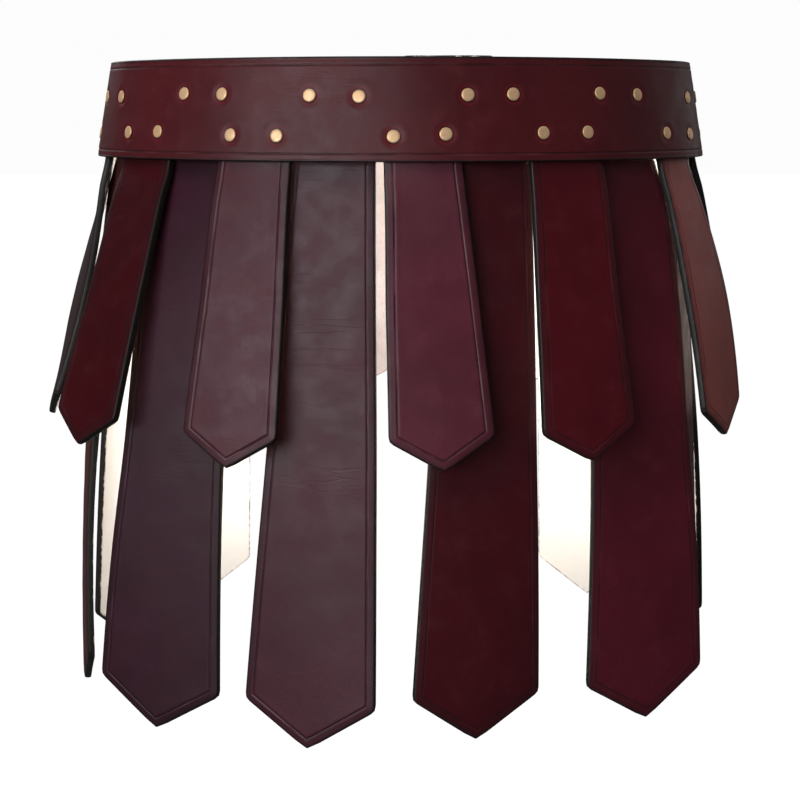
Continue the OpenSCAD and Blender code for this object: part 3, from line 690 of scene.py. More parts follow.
def build_belt():
    step = 1.4
    count = int(round((S_END - S_START) / step))
    ends = [0, 0.3, 0.8, 1.6, 2.8]
    ss = [S_START + e for e in ends] + [S_START + 4 + (S_END - S_START - 8) * i / count for i in range(count + 1)] \
        + [S_END - e for e in reversed(ends)]
    ss = np.array(ss)
    away = np.minimum(ss - S_START, S_END - ss)
    corner = 7.0
    cut = np.where(away < corner, corner - np.sqrt(np.clip(corner ** 2 - (corner - away) ** 2, 0, None)), 0)
    # rows: distance from the nearer edge, for the outer face, and the fold over each edge
    ins = [1.2, 2.2, 3.4, 4.1, 4.45, 4.75, 5.0, 5.25, 5.55, 5.9, 6.6]
    body = [6.6 + (2 * HALF - 13.2) * i / 34 for i in range(1, 34)]
    outer = [(0.0, a) for a in ins] + [(0.5, b) for b in body] + [(1.0, a) for a in reversed(ins)]
    rows = []
    for mode, q in outer:
        rows.append(("o", mode, q))
    dome = [math.radians(a) for a in (12, 30, 52, 74, 90, 106, 128, 150, 168)]
    for a in dome:
        rows.append(("t", a, 0))
    for q in [1.2, 2.5, 5, 10, 18, 28, 38, 48, 56, 60, 62.3]:
        rows.append(("i", q, 0))
    for a in dome:
        rows.append(("b", a, 0))
    n = len(rows)
    P = np.zeros((len(ss), n, 3))
    E = np.zeros((len(ss), n))
    L = np.full((len(ss), n), 20.0)
    Q = np.zeros((len(ss), n, 3))
    R = np.full((len(ss), n), 30.0)
    low = np.array(RIVETS_LOW)
    high = np.array(RIVETS_HIGH)
    loop = lambda d: (d + LOOP / 2) % LOOP - LOOP / 2
    for j, (kind, a, b) in enumerate(rows):
        zt, zb = HALF - cut, -HALF + cut
        pinch = np.clip(away / 1.2, 0, 1)
        thin = 0.35 + 0.65 * np.sqrt(np.clip(1 - (1 - pinch) ** 2, 0, 1))
        half_t = BELT_IN / 2 * thin
        if kind == "o":
            if a == 0.0:
                z = zb + b
            elif a == 1.0:
                z = zt - b
            else:
                z = zb + 6.6 + (zt - zb - 13.2) * (b - 6.6) / (2 * HALF - 13.2)
            d = BELT_IN / 2 - half_t
            e = np.minimum(np.minimum(z - zb, zt - z), away)
            line = e - 5.0
            disp = -0.24 * np.exp(-((line / 0.5) ** 2)) + 0.06 * np.exp(-(((np.abs(line) - 1.1) / 0.5) ** 2))
            disp = disp - 0.25 * np.clip(1 - e / 5.0, 0, 1) ** 1.5
            # the leather is drawn in a little round each rivet
            for spots in (low, high):
                k = loop(ss[:, None] - spots[None, :, 0])
                near = np.abs(k).argmin(1)
                zc = spots[near, 1]
                kk = k[np.arange(len(ss)), near] * (R2 + (HALF - zc) * TAN) / R2
                rr = np.hypot(kk, (z - zc) * SEC)
                R[:, j] = np.minimum(R[:, j], rr)
                disp = disp - 0.45 * np.exp(-((np.maximum(rr - 4.0, 0) / 1.9) ** 2)) \
                    + 0.12 * np.exp(-(((rr - 8.0) / 2.0) ** 2))
            # it also follows what lies behind it
            disp = disp + 0.16 * np.sin(ss * 0.045 + 0.7) * np.cos(z * 0.05) \
                + 0.10 * np.sin(ss * 0.11 + z * 0.04)
            d = d - disp
            L[:, j] = line
            E[:, j] = e
        elif kind in "tb":
            c = math.cos(a)
            dd = half_t * (1 - math.copysign(abs(c) ** 0.75, c))
            lift = 1.2 * (1 - math.sin(a) ** 0.8)
            if kind == "t":
                z = zt - lift
                d = BELT_IN / 2 - half_t + dd
            else:
                z = zb + lift
                d = BELT_IN / 2 + half_t - dd
        else:
            z = zt + (zb - zt) * a / (2 * HALF)
            d = BELT_IN / 2 + half_t
            E[:, j] = np.minimum(np.minimum(z - zb, zt - z), away)
        P[:, j] = wall(ss, d, z)
        Q[:, j] = np.stack([ss, z, np.full_like(ss, 40.0 if kind == "i" else 0.0)], -1) / 1000
    verts = P.reshape(-1, 3)
    # columns run round the section, rows along the belt
    faces = grid_faces(len(ss), n, 0, flip=True, wrap=True)
    inner = {j for j, r in enumerate(rows) if r[0] == "i"}
    index = []
    for i in range(len(ss) - 1):
        for j in range(n):
            index.append(1 if j in inner and (j + 1) % n in inner else 0)
    first, last = list(range(n)), [(len(ss) - 1) * n + j for j in range(n)]
    faces.append(tuple(first))
    faces.append(tuple(reversed(last)))
    index += [0, 0]
    # rings=True paints a glow and a shade ring round each rivet; the painted highlight on the tooled line is kept
    # faint
    mat = grain_leather("leather_belt", *lot(*BELT_DYE), rough=0.44, wrinkle=0.08, line_shine=0.22, rim=0.5, rings=True)
    ob = make("belt_band", verts, faces, [mat, flesh], index,
              {"place": Q.reshape(-1, 3), "edge": E.ravel(), "line": L.ravel(), "rivet_dist": R.ravel()})
    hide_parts("belt")
    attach(ob, "belt")
    return ob


build_belt()

# ------------------------------------------------------------ rivets and burrs


def mat_face(s, z):
    p, ex, ey, ez = face_frame(s, z)
    m = np.eye(4)
    m[:3, 0], m[:3, 1], m[:3, 2], m[:3, 3] = ex, ey, ez, p
    return m


def shift(x, y, z):
    m = np.eye(4)
    m[:3, 3] = (x, y, z)
    return m


def turn(axis, degrees):
    return np.array(Matrix.Rotation(math.radians(degrees), 4, axis))


class Parts:
    """Several closed shapes gathered into one mesh."""

    def __init__(self):
        self.v, self.f = [], []
        self.n = 0

    def add(self, verts, faces, m=None):
        verts = np.asarray(verts, float)
        if m is not None:
            verts = verts @ m[:3, :3].T + m[:3, 3]
        self.v.append(verts)
        self.f += [tuple(i + self.n for i in f) for f in faces]
        self.n += len(verts)

    def build(self, name, mat, body, nodes, slot, attrs=False):
        v = np.concatenate(self.v)
        ob = make(name, v, self.f, [mat])
        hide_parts(*nodes)
        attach(ob, body)
        return ob


def lathe(profile, count=32, uneven=0.0, seed=0.0, closed=False):
    """Profile of (radius, height) turned round z. Radius 0 at an end closes it."""
    verts, rings, faces = [], [], []
    for r, z in profile:
        if r < 1e-6:
            rings.append([len(verts)])
            verts.append((0, 0, z))
            continue
        ring = []
        for k in range(count):
            a = 2 * math.pi * k / count
            q = r * (1 + uneven * (math.sin(2 * a + seed) + 0.6 * math.sin(3 * a + 2.3 * seed)))
            ring.append(len(verts))
            verts.append((q * math.cos(a), q * math.sin(a), z))
        rings.append(ring)
    pairs = list(zip(rings, rings[1:] + (rings[:1] if closed else [])))
    for lo, hi in pairs if closed else pairs[:len(rings) - 1]:
        for k in range(count):
            k2 = (k + 1) % count
            if len(lo) == 1 and len(hi) == 1:
                continue
            if len(lo) == 1:
                faces.append((lo[0], hi[k2], hi[k]))
            elif len(hi) == 1:
                faces.append((lo[k], lo[k2], hi[0]))
            else:
                faces.append((lo[k], lo[k2], hi[k2], hi[k]))
    return verts, faces


def rivet_shape(out, inn, seed):
    """Flat head, shank, and an end peened over the burr."""
    b = -(inn + 0.9 + 0.08)
    o = out - 0.42
    prof = [
        (0, b - 0.95), (0.8, b - 0.9), (1.5, b - 0.72), (2.1, b - 0.42), (2.45, b - 0.12), (2.4, b + 0.06),
        (1.72, b + 0.1), (1.7, o - 0.1), (3.7, o), (3.98, o + 0.1), (4.1, o + 0.34), (4.06, o + 0.66),
        (3.86, o + 0.92), (3.5, o + 1.08), (2.9, o + 1.15), (2.0, o + 1.19), (1.0, o + 1.21), (0, o + 1.21),
    ]
    return lathe(prof, 32, 0.006, seed)


def burr_shape(inn, seed):
    z = -(inn + 0.95)
    prof = [
        (1.9, z + 0.1), (1.95, z), (3.3, z), (3.58, z + 0.08), (3.7, z + 0.28), (3.7, z + 0.62),
        (3.58, z + 0.82), (3.3, z + 0.9), (1.95, z + 0.9), (1.9, z + 0.8),
    ]
    return lathe(prof, 28, 0.006, seed, closed=True)


GRIP = T + T + 0.1
for kind, row in (("short", RIVETS_LOW), ("long", RIVETS_HIGH)):
    heads, rings = Parts(), Parts()
    for i, (at, z) in enumerate(row):
        m = mat_face(at, z)
        k = i * 1.63 + (9 if kind == "long" else 0)
        tilt = turn("X", 1.5 * math.sin(k * 3.1)) @ turn("Y", 1.5 * math.cos(k * 1.7))
        spin = turn("Z", 53 * k)
        heads.add(*rivet_shape(0, GRIP, k), m @ tilt @ spin)
        rings.add(*burr_shape(GRIP, k + 1), m @ spin)
    heads.build(kind + "_row_rivets", copper, "belt", [kind + "_strap_rivets"], "copper")
    rings.build(kind + "_row_burrs", copper, "belt", [kind + "_strap_burrs"], "copper")

# ---------------------------------------------------------------- the closure
# Frame of each buckle: x along the belt, y up it, z out of it.

BEND_R = (R2 + HALF * TAN) / COS
NARROW_W, NARROW_Z = 19.0, 15.0
GUARD_T, CHAPE_T, BILLET_T = 3.2, 2.4, 3.2
GUARD_IN = T + 0.3 + GUARD_T
BAR_X, BAR_Z, FRONT_X, FRONT_Z, WIRE = -8.5, 4.5, 8.5, 6.8, 1.75


def fall(x):
    return BEND_R - math.sqrt(BEND_R * BEND_R - x * x)


def on_bend(e, y):
    x = 27.8 if e < 0 else 27.0
    return shift(e * x, y * 4.7, -fall(x)) @ turn("Y", e * math.degrees(math.asin(x / BEND_R)))


heads, rings = Parts(), Parts()
for z in (-1, 1):
    for y in (-1, 1):
        for e, out, inn in ((1, 3.3, GUARD_IN + 0.05), (-1, 5.5, T + 0.05)):
            m = mat_face(CLOSE, z * NARROW_Z) @ on_bend(e, y)
            k = z * 1.3 + y * 2.9 + e * 0.7
            heads.add(*rivet_shape(out + 0.1, inn, k), m @ turn("Z", 61 * k))
            rings.add(*burr_shape(inn, k), m @ turn("Z", 47 * k))
heads.build("closure_row_rivets", copper, "belt", ["closure_rivets"], "copper")
rings.build("closure_row_burrs", copper, "belt", ["closure_burrs"], "copper")


def smooth_line(points, step=0.8, rounds=6):
    """Evenly spaced points along a line through points, with its corners eased."""
    p = np.asarray(points, float)

    def even(q, gap):
        d = np.concatenate([[0], np.cumsum(np.linalg.norm(np.diff(q, axis=0), axis=1))])
        t = np.linspace(0, d[-1], max(int(round(d[-1] / gap)), 2) + 1)
        return np.stack([np.interp(t, d, q[:, k]) for k in range(q.shape[1])], 1)

    p = even(p, step)
    for _ in range(rounds):
        p[1:-1] = 0.25 * p[:-2] + 0.5 * p[1:-1] + 0.25 * p[2:]
    return even(p, step)


def strip(line, half, thick, m, seed, end=0.0, round_r=0.7, crease=2.3, bulge=0.0, flip=False):
    """Leather strip along a line of (x, z) in the buckle's frame. half is its
    half width, end the length over which its last end comes to a soft point."""
    a = np.concatenate([[0], np.cumsum(np.linalg.norm(np.diff(line, axis=0), axis=1))])
    total = a[-1]
    # closer rows at the two ends
    extra = np.array([0.12, 0.35, 0.7, 1.2])
    t = np.unique(np.concatenate([a, extra, total - extra]))
    if end:
        t = np.unique(np.concatenate([t, total - end * (1 - np.cos(np.linspace(0, np.pi / 2, 14)))]))
    pts = np.stack([np.interp(t, a, line[:, k]) for k in range(2)], 1)
    d = np.gradient(pts, axis=0)
    d /= np.linalg.norm(d, axis=1, keepdims=True)
    nrm = np.stack([-d[:, 1], d[:, 0]], 1) * (-1 if flip else 1)
    ys = [0, 0.15, 0.4, 0.8, 1.5, 1.9, 2.15, 2.3, 2.45, 2.7, 3.2, 4.5]
    prof = [("t", y) for y in ys] + [("m", k) for k in (-0.5, 0.0, 0.5)] + [("s", y) for y in reversed(ys)]
    n = len(prof)
    V, E, L, Q = [], [], [], []
    for i, s in enumerate(t):
        away = min(s, total - s)
        w = half
        if end and s > total - end:
            q = (s - (total - end)) / end
            w = max(half * (1 - q ** 2.1) ** 0.75, 0.5)
        cap = math.sqrt(max(1 - (1 - min(away / round_r, 1)) ** 2, 0))
        h0 = thick / 2 * (0.45 + 0.55 * cap)
        for face in (1, -1):
            order = prof if face == 1 else prof[::-1]
            for side, y in order:
                if side == "t":
                    k = min(y, w * 0.98)
                    yy = -w + k
                elif side == "s":
                    k = min(y, w * 0.98)
                    yy = w - k
                else:
                    k = w
                    yy = y * max(w - 4.5, 0.02) * 1.2
                rr = math.sqrt(max(1 - (1 - min(k / round_r, 1)) ** 2, 0))
                h = h0 * (0.5 + 0.5 * rr)
                e = min(k, away if away < 6 else 99)
                ln = e - crease
                if face == 1:
                    h -= 0.25 * math.exp(-((ln / 0.3) ** 2))
                h += 0.05 * math.sin(0.5 * s + seed + yy * 0.3)
                x = pts[i, 0] + nrm[i, 0] * face * h
                z = pts[i, 1] + nrm[i, 1] * face * h + bulge * (1 - (yy / half) ** 2)
                V.append((x, yy, z))
                E.append(e)
                L.append(ln if face == 1 else 20.0)
                Q.append((yy / 1000 + seed, s / 1000, 0 if face == 1 else 0.03))
    cols = 2 * n
    rows = len(t)
    F = []
    I = []
    for i in range(rows - 1):
        for j in range(cols):
            k = (j + 1) % cols
            F.append((i * cols + j, (i + 1) * cols + j, (i + 1) * cols + k, i * cols + k))
            I.append(1 if n <= j < 2 * n - 1 else 0)
    F.append(tuple(range(cols)))
    F.append(tuple(reversed([(rows - 1) * cols + j for j in range(cols)])))
    I += [0, 0]
    if flip:
        F = [f[::-1] for f in F]
    V = np.array(V) @ m[:3, :3].T + m[:3, 3]
    return V, F, I, {"place": np.array(Q), "edge": np.array(E), "line": np.array(L)}


def cut(ob, cutters):
    """Takes the cutters' shapes out of ob for good."""
    for c in cutters:
        mod = ob.modifiers.new("cut", "BOOLEAN")
        mod.operation = "DIFFERENCE"
        mod.solver = "EXACT"
        mod.object = c
    deps = bpy.context.evaluated_depsgraph_get()
    me = bpy.data.meshes.new_from_object(ob.evaluated_get(deps), preserve_all_data_layers=True, depsgraph=deps)
    ob.modifiers.clear()
    old = ob.data
    ob.data = me
    bpy.data.meshes.remove(old)
    for c in cutters:
        data = c.data
        bpy.data.objects.remove(c)
        bpy.data.meshes.remove(data)
    return ob


def rod(name, r, z0, z1, m, mat, count=28, stretch=0.0):
    """Cutter: a round, or oval, rod along z."""
    v, f = [], []
    for z in (z0, z1):
        for k in range(count):
            a = 2 * math.pi * k / count
            v.append((r * math.cos(a) + math.copysign(stretch, math.cos(a)), r * math.sin(a), z))
    for k in range(count):
        k2 = (k + 1) % count
        f.append((k, k2, count + k2, count + k))
    f.append(tuple(reversed(range(count))))
    f.append(tuple(range(count, 2 * count)))
    v = np.array(v) @ m[:3, :3].T + m[:3, 3]
    return make(name, v, f, [mat], smooth=False)


closure_leather = grain_leather("leather_closure", *lot(0.066, 0.0070, 0.0105), rough=0.44, wrinkle=0.1, rim=0.6)
cut_edge = grain_leather("leather_punched", (0.02, 0.008, 0.009), (0.012, 0.006, 0.007), (0.03, 0.012, 0.013),
                         rough=0.6, wrinkle=0.0)
INNER = [(x, BAR_Z - WIRE - 0.15 - CHAPE_T / 2 if x > -10 else min(-fall(x) + 0.15 + CHAPE_T / 2, 1.3))
         for x in (-34.5, -30, -26, -22, -18, -14, -11.4, BAR_X)]
FOLD = [(BAR_X + (WIRE + 0.15 + CHAPE_T / 2) * math.sin(a), BAR_Z - (WIRE + 0.15 + CHAPE_T / 2) * math.cos(a))
        for a in np.linspace(0, math.pi, 13)[1:-1]]
OUTER = [(-34.5, 3.85 - fall(34.5)), (-30.5, 3.85 - fall(30.5)), (-26.6, 4 - fall(26.6)), (-23.5, 2.75),
         (-21.5, 4.5), (-19, 4.85), (-14.6, 5.15), (-11.2, 6.95), (-10, 7.4),
         (BAR_X, BAR_Z + WIRE + 0.15 + CHAPE_T / 2)]
BILLET = [
    (34.5, 1.7 - fall(34.5)), (30.5, 1.7 - fall(30.5)), (26.5, 1.7 - fall(26.5)), (22.5, 1.7 - fall(22.5)),
    (18, 1.5), (13, 1.55), (8.5, 1.75), (7.2, 2.05), (5.9, 2.65), (-5.3, 9.75), (-6.8, 10.45), (-8.5, 10.75),
    (-11.4, 10.35), (-15, 8.35), (-19, 8.0), (-24, 7.7), (-30, 7.5 - fall(30) / 2), (-36, 7.2 - fall(36) / 2),
    (-42, 7 - fall(42) / 2), (-47, 6.8 - fall(47) / 2), (-53, 6.6 - fall(53) / 2)]
TIP_Z = FRONT_Z + 3 + 0.3 + 1.4
PRONG_FROM = (BAR_X, BAR_Z + 2.9)
PRONG_TILT = math.degrees(math.atan2(TIP_Z - PRONG_FROM[1], FRONT_X - PRONG_FROM[0]))


def ring_path(m):
    """The buckle's frame: a rounded oblong of wire, broad at its sides."""
    span = math.hypot(FRONT_X - BAR_X, FRONT_Z - BAR_Z)
    y0, r = 12.3, 2.7
    pts = []
    corners = ((span, y0), (0, y0), (0, -y0), (span, -y0))
    for i, (cx, cy) in enumerate(corners):
        ix, iy = cx - math.copysign(r, cx - span / 2), cy - math.copysign(r, cy)
        start = (0, 90, 180, 270)[i]
        for k in range(9):
            a = math.radians(start + 90 * k / 8)
            pts.append((ix + r * math.cos(a), iy + r * math.sin(a)))
    pts = np.array(pts + pts[:1])
    d = np.concatenate([[0], np.cumsum(np.linalg.norm(np.diff(pts, axis=0), axis=1))])
    t = np.linspace(0, d[-1], 97)[:-1]
    p = np.stack([np.interp(t, d, pts[:, 0]), np.interp(t, d, pts[:, 1])], 1)
    tang = np.roll(p, -1, 0) - np.roll(p, 1, 0)
    tang /= np.linalg.norm(tang, axis=1, keepdims=True)
    inn = np.stack([-tang[:, 1], tang[:, 0]], 1)
    ax = math.atan2(FRONT_Z - BAR_Z, FRONT_X - BAR_X)
    V, F, count = [], [], 20
    for i in range(len(p)):
        side = smoothstep((abs(p[i, 1]) - 8.8) / 3.0)
        wide, tall = 1.75 - 0.33 * side, 1.75 + 0.5 * side
        for k in range(count):
            a = 2 * math.pi * k / count
            c, s = math.cos(a), math.sin(a)
            ca = math.copysign(abs(c) ** 0.85, c) * wide
            sa = math.copysign(abs(s) ** 0.85, s) * tall
            u, v = p[i] + inn[i] * ca
            V.append((BAR_X + u * math.cos(ax) - sa * math.sin(ax), v,
                      BAR_Z + u * math.sin(ax) + sa * math.cos(ax)))
    n = len(p)
    for i in range(n):
        for k in range(count):
            a, b = i * count + k, i * count + (k + 1) % count
            c, d2 = ((i + 1) % n) * count + (k + 1) % count, ((i + 1) % n) * count + k
            F.append((a, b, c, d2))
    return V, F


for side, z in (("upper", 1), ("lower", -1)):
    m = mat_face(CLOSE, z * NARROW_Z)
    seed = 3.0 if z > 0 else 4.0
    own = lambda name: side + "_" + name

    # folded end piece
    fold_line = smooth_line(INNER + FOLD + OUTER[::-1], 0.7, 3)
    v, f, i, at = strip(fold_line[::-1], NARROW_W / 2, CHAPE_T, m, seed, round_r=0.6, crease=1.9)
    ob = make("folded_" + own("chape"), v, f, [closure_leather, flesh, cut_edge], i, at)
    cut(ob, [rod("slot_" + side, 2.2, -5, 20, m @ shift(-6.5, 0, 0), cut_edge, stretch=6.6)])
    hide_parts(own("chape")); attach(ob, "belt")

    # holed strap
    line = smooth_line(BILLET, 0.8, 3)
    v, f, i, at = strip(line, NARROW_W / 2, BILLET_T, m, seed + 0.5, end=11.0, round_r=0.9, crease=2.2, flip=True)
    ob = make("holed_" + own("billet"), v, f, [closure_leather, flesh, cut_edge], i, at)
    holes = [rod("hole_%s_%d" % (side, k), 1.9, -5, 25, m @ shift(x, 0, 0), cut_edge)
             for k, x in enumerate((-39, -29, 17))]
    prong_axis = m @ shift(PRONG_FROM[0], 0, PRONG_FROM[1]) @ turn("Y", 90 - PRONG_TILT - 6)
    holes.append(rod("hole_%s_9" % side, 1.95, -1.6, 26, prong_axis, cut_edge, stretch=1.9))
    cut(ob, holes)
    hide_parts(own("billet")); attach(ob, "belt")

    # keeper: a closed band of leather round both
    w, zlo, zhi, r = 10.72, 2.7, 10.88, 1.7
    loop = []
    for cx, cz, start in ((w - r, zhi - r, 0), (-w + r, zhi - r, 90), (-w + r, zlo + r, 180), (w - r, zlo + r, 270)):
        for k in range(7):
            a = math.radians(start + 90 * k / 6)
            loop.append((cx + r * math.cos(a), cz + r * math.sin(a)))
    loop = np.array(loop + loop[:1])
    d = np.concatenate([[0], np.cumsum(np.linalg.norm(np.diff(loop, axis=0), axis=1))])
    t = np.linspace(0, d[-1], 91)[:-1]
    q = np.stack([np.interp(t, d, loop[:, 0]), np.interp(t, d, loop[:, 1])], 1)
    tang = np.roll(q, -1, 0) - np.roll(q, 1, 0)
    tang /= np.linalg.norm(tang, axis=1, keepdims=True)
    outw = np.stack([tang[:, 1], -tang[:, 0]], 1)
    sec = [(-2.75, -0.3), (-2.85, 0), (-2.75, 0.35), (-2.45, 0.62), (-1.75, 0.66), (-1.45, 0.5), (-1.15, 0.66),
           (0, 0.7), (1.15, 0.66), (1.45, 0.5), (1.75, 0.66), (2.45, 0.62), (2.75, 0.35), (2.85, 0), (2.75, -0.3),
           (2.4, -0.5), (0, -0.55), (-2.4, -0.5)]
    V, F, E, Q = [], [], [], []
    for i in range(len(q)):
        for x, h in sec:
            y, zz = q[i] + outw[i] * h
            V.append((-18.2 + x, y, zz))
            E.append(max(2.85 - abs(x), 0))
            Q.append((x / 1000, t[i] / 1000, seed))
    n, c = len(q), len(sec)
    for i in range(n):
        for k in range(c):
            F.append((i * c + k, i * c + (k + 1) % c, ((i + 1) % n) * c + (k + 1) % c, ((i + 1) % n) * c + k))
    V = np.array(V) @ m[:3, :3].T + m[:3, 3]
    ob = make("band_" + own("keeper"), V, F, [closure_leather], None,
              {"place": np.array(Q), "edge": np.array(E), "line": np.full(len(V), 20.0)})
    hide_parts(own("keeper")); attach(ob, "belt")

    # frame, roller and prong
    p = Parts()
    p.add(*ring_path(m), m)
    p.build("wire_" + own("frame"), steel, "belt", [own("buckle_frame")], "buckle_steel")

    p = Parts()
    prof = [(2.05, -9.9), (2.25, -10.0), (2.7, -10.0), (2.92, -9.86), (3.0, -9.6), (3.0, -5), (3.0, 0), (3.0, 5),
            (3.0, 9.6), (2.92, 9.86), (2.7, 10.0), (2.25, 10.0), (2.05, 9.9), (2.05, 0)]
    v, f = lathe(prof, 48, closed=True)
    v = np.array(v)
    ang = np.degrees(np.arctan2(v[:, 1], v[:, 0]))
    rad = np.hypot(v[:, 0], v[:, 1])
    seam = np.where((rad > 2.5) & (np.abs(ang - 150) < 5), 0.9, 1.0)
    v[:, :2] *= seam[:, None]
    p.add(v, f, m @ shift(FRONT_X, 0, FRONT_Z) @ turn("X", 90))
    p.build("tube_" + own("roller"), steel, own("roller"), [own("roller")], "buckle_steel")

    p = Parts()
    prof = [(2.05, -1.1), (2.2, -1.35), (2.6, -1.5), (3.3, -1.5), (3.7, -1.35), (3.9, -0.9), (3.9, 0), (3.9, 0.9),
            (3.7, 1.35), (3.3, 1.5), (2.6, 1.5), (2.2, 1.35), (2.05, 1.1), (2.05, 0)]
    p.add(*lathe(prof, 40, closed=True), m @ shift(BAR_X, 0, BAR_Z) @ turn("X", 90))
    arm = [(0, -0.6), (1.2, -0.5), (1.38, 0), (1.4, 3), (1.4, 8), (1.36, 13), (1.28, 17), (1.2, 19), (1.08, 20),
           (0.8, 20.6), (0.4, 20.86), (0, 20.9)]
    p.add(*lathe(arm, 24), m @ shift(PRONG_FROM[0], 0, PRONG_FROM[1]) @ turn("Y", 90 - PRONG_TILT))
    p.build("pin_" + own("prong"), steel, own("prong"), [own("prong")], "buckle_steel")


def build_guard():
    """Leather panel behind the gap, with rounded corners."""
    m = mat_face(CLOSE, 0)
    top, foot = 43.6, -HALF * SEC
    xs = [-37.5, -31, -24, -17, -11, -4, 4, 11, 17, 21, 25, 31, 37.5]
    dz = [T + 0.3 + GUARD_T / 2 + fall(x) + (0 if x > 20 else 1.8 if x > 16.5 else 2.3) for x in xs]
    line = smooth_line(list(zip(xs, dz)), 0.8, 4)
    ins = [0, 0.15, 0.45, 0.9, 1.6, 2.6, 3.2, 3.55, 3.8, 4.0, 4.2, 4.45, 4.9]
    ys = [foot + k for k in ins] + list(np.linspace(foot + 6, top - 6, 30)) + [top - k for k in reversed(ins)]
    ys = np.array(ys)

    def reach(y):
        x = 30.6 + 6.9 * smoothstep((y + 4.0) / 4.0)
        for end, r in ((top, 4.5), (foot, 5.0)):
            k = np.clip(r - np.abs(end - y), 0, r)
            x = x - (r - np.sqrt(r * r - k * k))
        return x

    X = reach(ys)
    cols = [("l", k) for k in ins] + [("m", k / 21) for k in range(1, 21)] + [("r", k) for k in reversed(ins)]
    U = np.zeros((len(ys), len(cols)))
    for j, (side, k) in enumerate(cols):
        U[:, j] = -X + k if side == "l" else X - k if side == "r" else (-X + 4.9) + (2 * X - 9.8) * k
    V = np.repeat(ys[:, None], len(cols), 1)
    dense = np.linspace(foot, top, 400)
    ox = np.concatenate([reach(dense), -reach(dense)[::-1], [reach(dense)[0]]])
    oy = np.concatenate([dense, dense[::-1], [dense[0]]])
    gap = np.minimum.reduce([np.hypot(U - a, V - b) for a, b in zip(ox, oy)])
    gap = np.minimum(gap, np.minimum(V - foot, top - V))
    edge = np.maximum(gap, 0)
    rim = (np.arange(len(ys))[:, None] == 0) | (np.arange(len(ys))[:, None] == len(ys) - 1) \
        | (np.arange(len(cols))[None, :] == 0) | (np.arange(len(cols))[None, :] == len(cols) - 1)
    edge = np.where(rim, 0, edge)
    fold = np.sqrt(np.clip(1 - (np.clip(1.2 - edge, 0, 1.2) / 1.2) ** 2, 0, 1))
    h = 1.6 * (0.5 + 0.5 * fold)
    ln = edge - 4.0
    d = np.interp(U, line[:, 0], line[:, 1])

    def place_at(w):
        q = np.stack([U, V, -d + w], -1).reshape(-1, 3)
        return q @ m[:3, :3].T + m[:3, 3]

    outer = place_at(h - 0.3 * np.exp(-((ln / 0.35) ** 2)))
    inner = place_at(-h)
    rr, cc = U.shape
    n = rr * cc
    verts = np.concatenate([outer, inner])
    faces = grid_faces(rr, cc, 0) + grid_faces(rr, cc, n, flip=True)
    index = [0] * ((rr - 1) * (cc - 1)) + [1] * ((rr - 1) * (cc - 1))
    ring = [(0, j) for j in range(cc)] + [(i, cc - 1) for i in range(1, rr)] \
        + [(rr - 1, j) for j in range(cc - 2, -1, -1)] + [(i, 0) for i in range(rr - 2, 0, -1)]
    ids = [i * cc + j for i, j in ring]
    for a in range(len(ids)):
        b = (a + 1) % len(ids)
        faces.append((ids[b], ids[a], ids[a] + n, ids[b] + n))
        index.append(0)
    flat = np.stack([U, V, np.full_like(U, 71.0)], -1).reshape(-1, 3) / 1000
    ob = make("panel_guard", verts, faces, [closure_leather, flesh], index,
              {"place": np.concatenate([flat, flat + [0, 0, 0.05]]), "edge": np.concatenate([edge.ravel()] * 2),
               "line": np.concatenate([ln.ravel(), np.full(n, 20.0)])})
    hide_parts("closure_guard")
    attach(ob, "belt")


build_guard()

# ---------------------------------------------------------------------- stage

scene.view_settings.view_transform = "Standard"
scene.view_settings.look = "None"


def stage():
    t = Tree("floor_pale")
    t.set(Base_Color=(0.9, 0.9, 0.9), Roughness=0.9)
    t.bsdf.inputs["Emission Color"].default_value = (1, 1, 1, 1)
    t.bsdf.inputs["Emission Strength"].default_value = 0.965
    w, z = 60000, -2300
    floor = make("floor", [(-w, -w, z), (w, -w, z), (w, w, z), (-w, w, z)], [(0, 1, 2, 3)], [t.mat],
                 smooth=False)
    floor.visible_diffuse = floor.visible_glossy = floor.visible_shadow = False


stage()


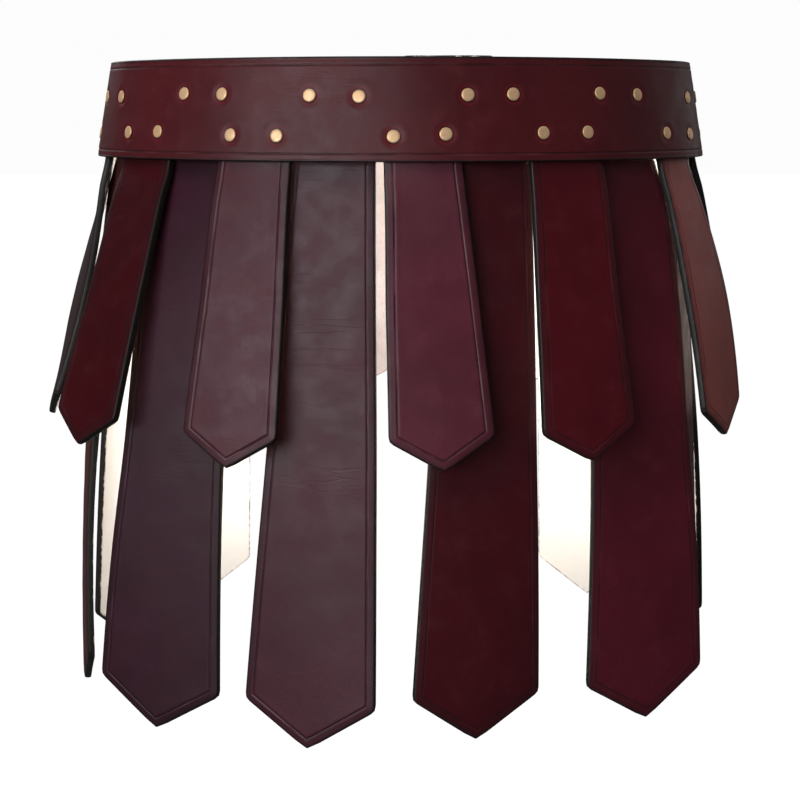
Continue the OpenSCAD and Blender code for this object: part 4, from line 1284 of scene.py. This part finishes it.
def area(name, az, el, dist, size, radiance, colour=(1, 1, 1), target=(0, 0, -0.15)):
    """Soft panel at an azimuth (0 in front, rising towards +X) and elevation."""
    a, e = math.radians(az), math.radians(el)
    t = Vector(target)
    place = t + dist * Vector((math.sin(a) * math.cos(e), -math.cos(a) * math.cos(e), math.sin(e)))
    data = bpy.data.lights.new(name, "AREA")
    data.shape = "RECTANGLE"
    data.size, data.size_y = size
    data.energy = radiance * math.pi * size[0] * size[1]
    data.color = colour
    ob = bpy.data.objects.new(name, data)
    scene.collection.objects.link(ob)
    ob.location = place
    ob.rotation_euler = (t - place).to_track_quat("-Z", "Y").to_euler()
    ob.visible_camera = False
    return ob


area("window", -29, 11, 2.2, (1.9, 0.8), 4.2, (0.93, 0.97, 1.0))
area("top_left", -40, 48, 2.2, (1.4, 1.2), 3.9, (1.0, 0.98, 0.95)).visible_glossy = False
area("right", 70, 35, 2.2, (1.2, 1.2), 1.2, (1.0, 0.97, 0.93)).visible_glossy = False
area("back_right", 125, 18, 2.4, (1.4, 1.2), 0.4)
area("back_left", -150, 30, 2.4, (1.8, 1.5), 1.6)
# the unfinished sides, which face inwards
inner = area("inner", 0, 0, 0.1, (0.30, 0.34), 2.8, target=(0, 0.1, -0.16))
inner.visible_glossy = False
for z in (-0.02, -0.15, -0.28):
    data = bpy.data.lights.new("inside", "POINT")
    data.energy = 0.30
    data.shadow_soft_size = 0.05
    ob = bpy.data.objects.new("inside", data)
    scene.collection.objects.link(ob)
    ob.location = (0, 0, z)
    ob.visible_camera = ob.visible_glossy = False

world = bpy.data.worlds.new("studio")
scene.world = world
world.use_nodes = True
nt = world.node_tree
bg = nt.nodes["Background"]
path = nt.nodes.new("ShaderNodeLightPath")
level = nt.nodes.new("ShaderNodeMapRange")
level.inputs["To Min"].default_value = 0.07
level.inputs["To Max"].default_value = 0.98
nt.links.new(path.outputs["Is Camera Ray"], level.inputs["Value"])
nt.links.new(level.outputs[0], bg.inputs["Strength"])
bg.inputs[0].default_value = (1, 1, 1, 1)
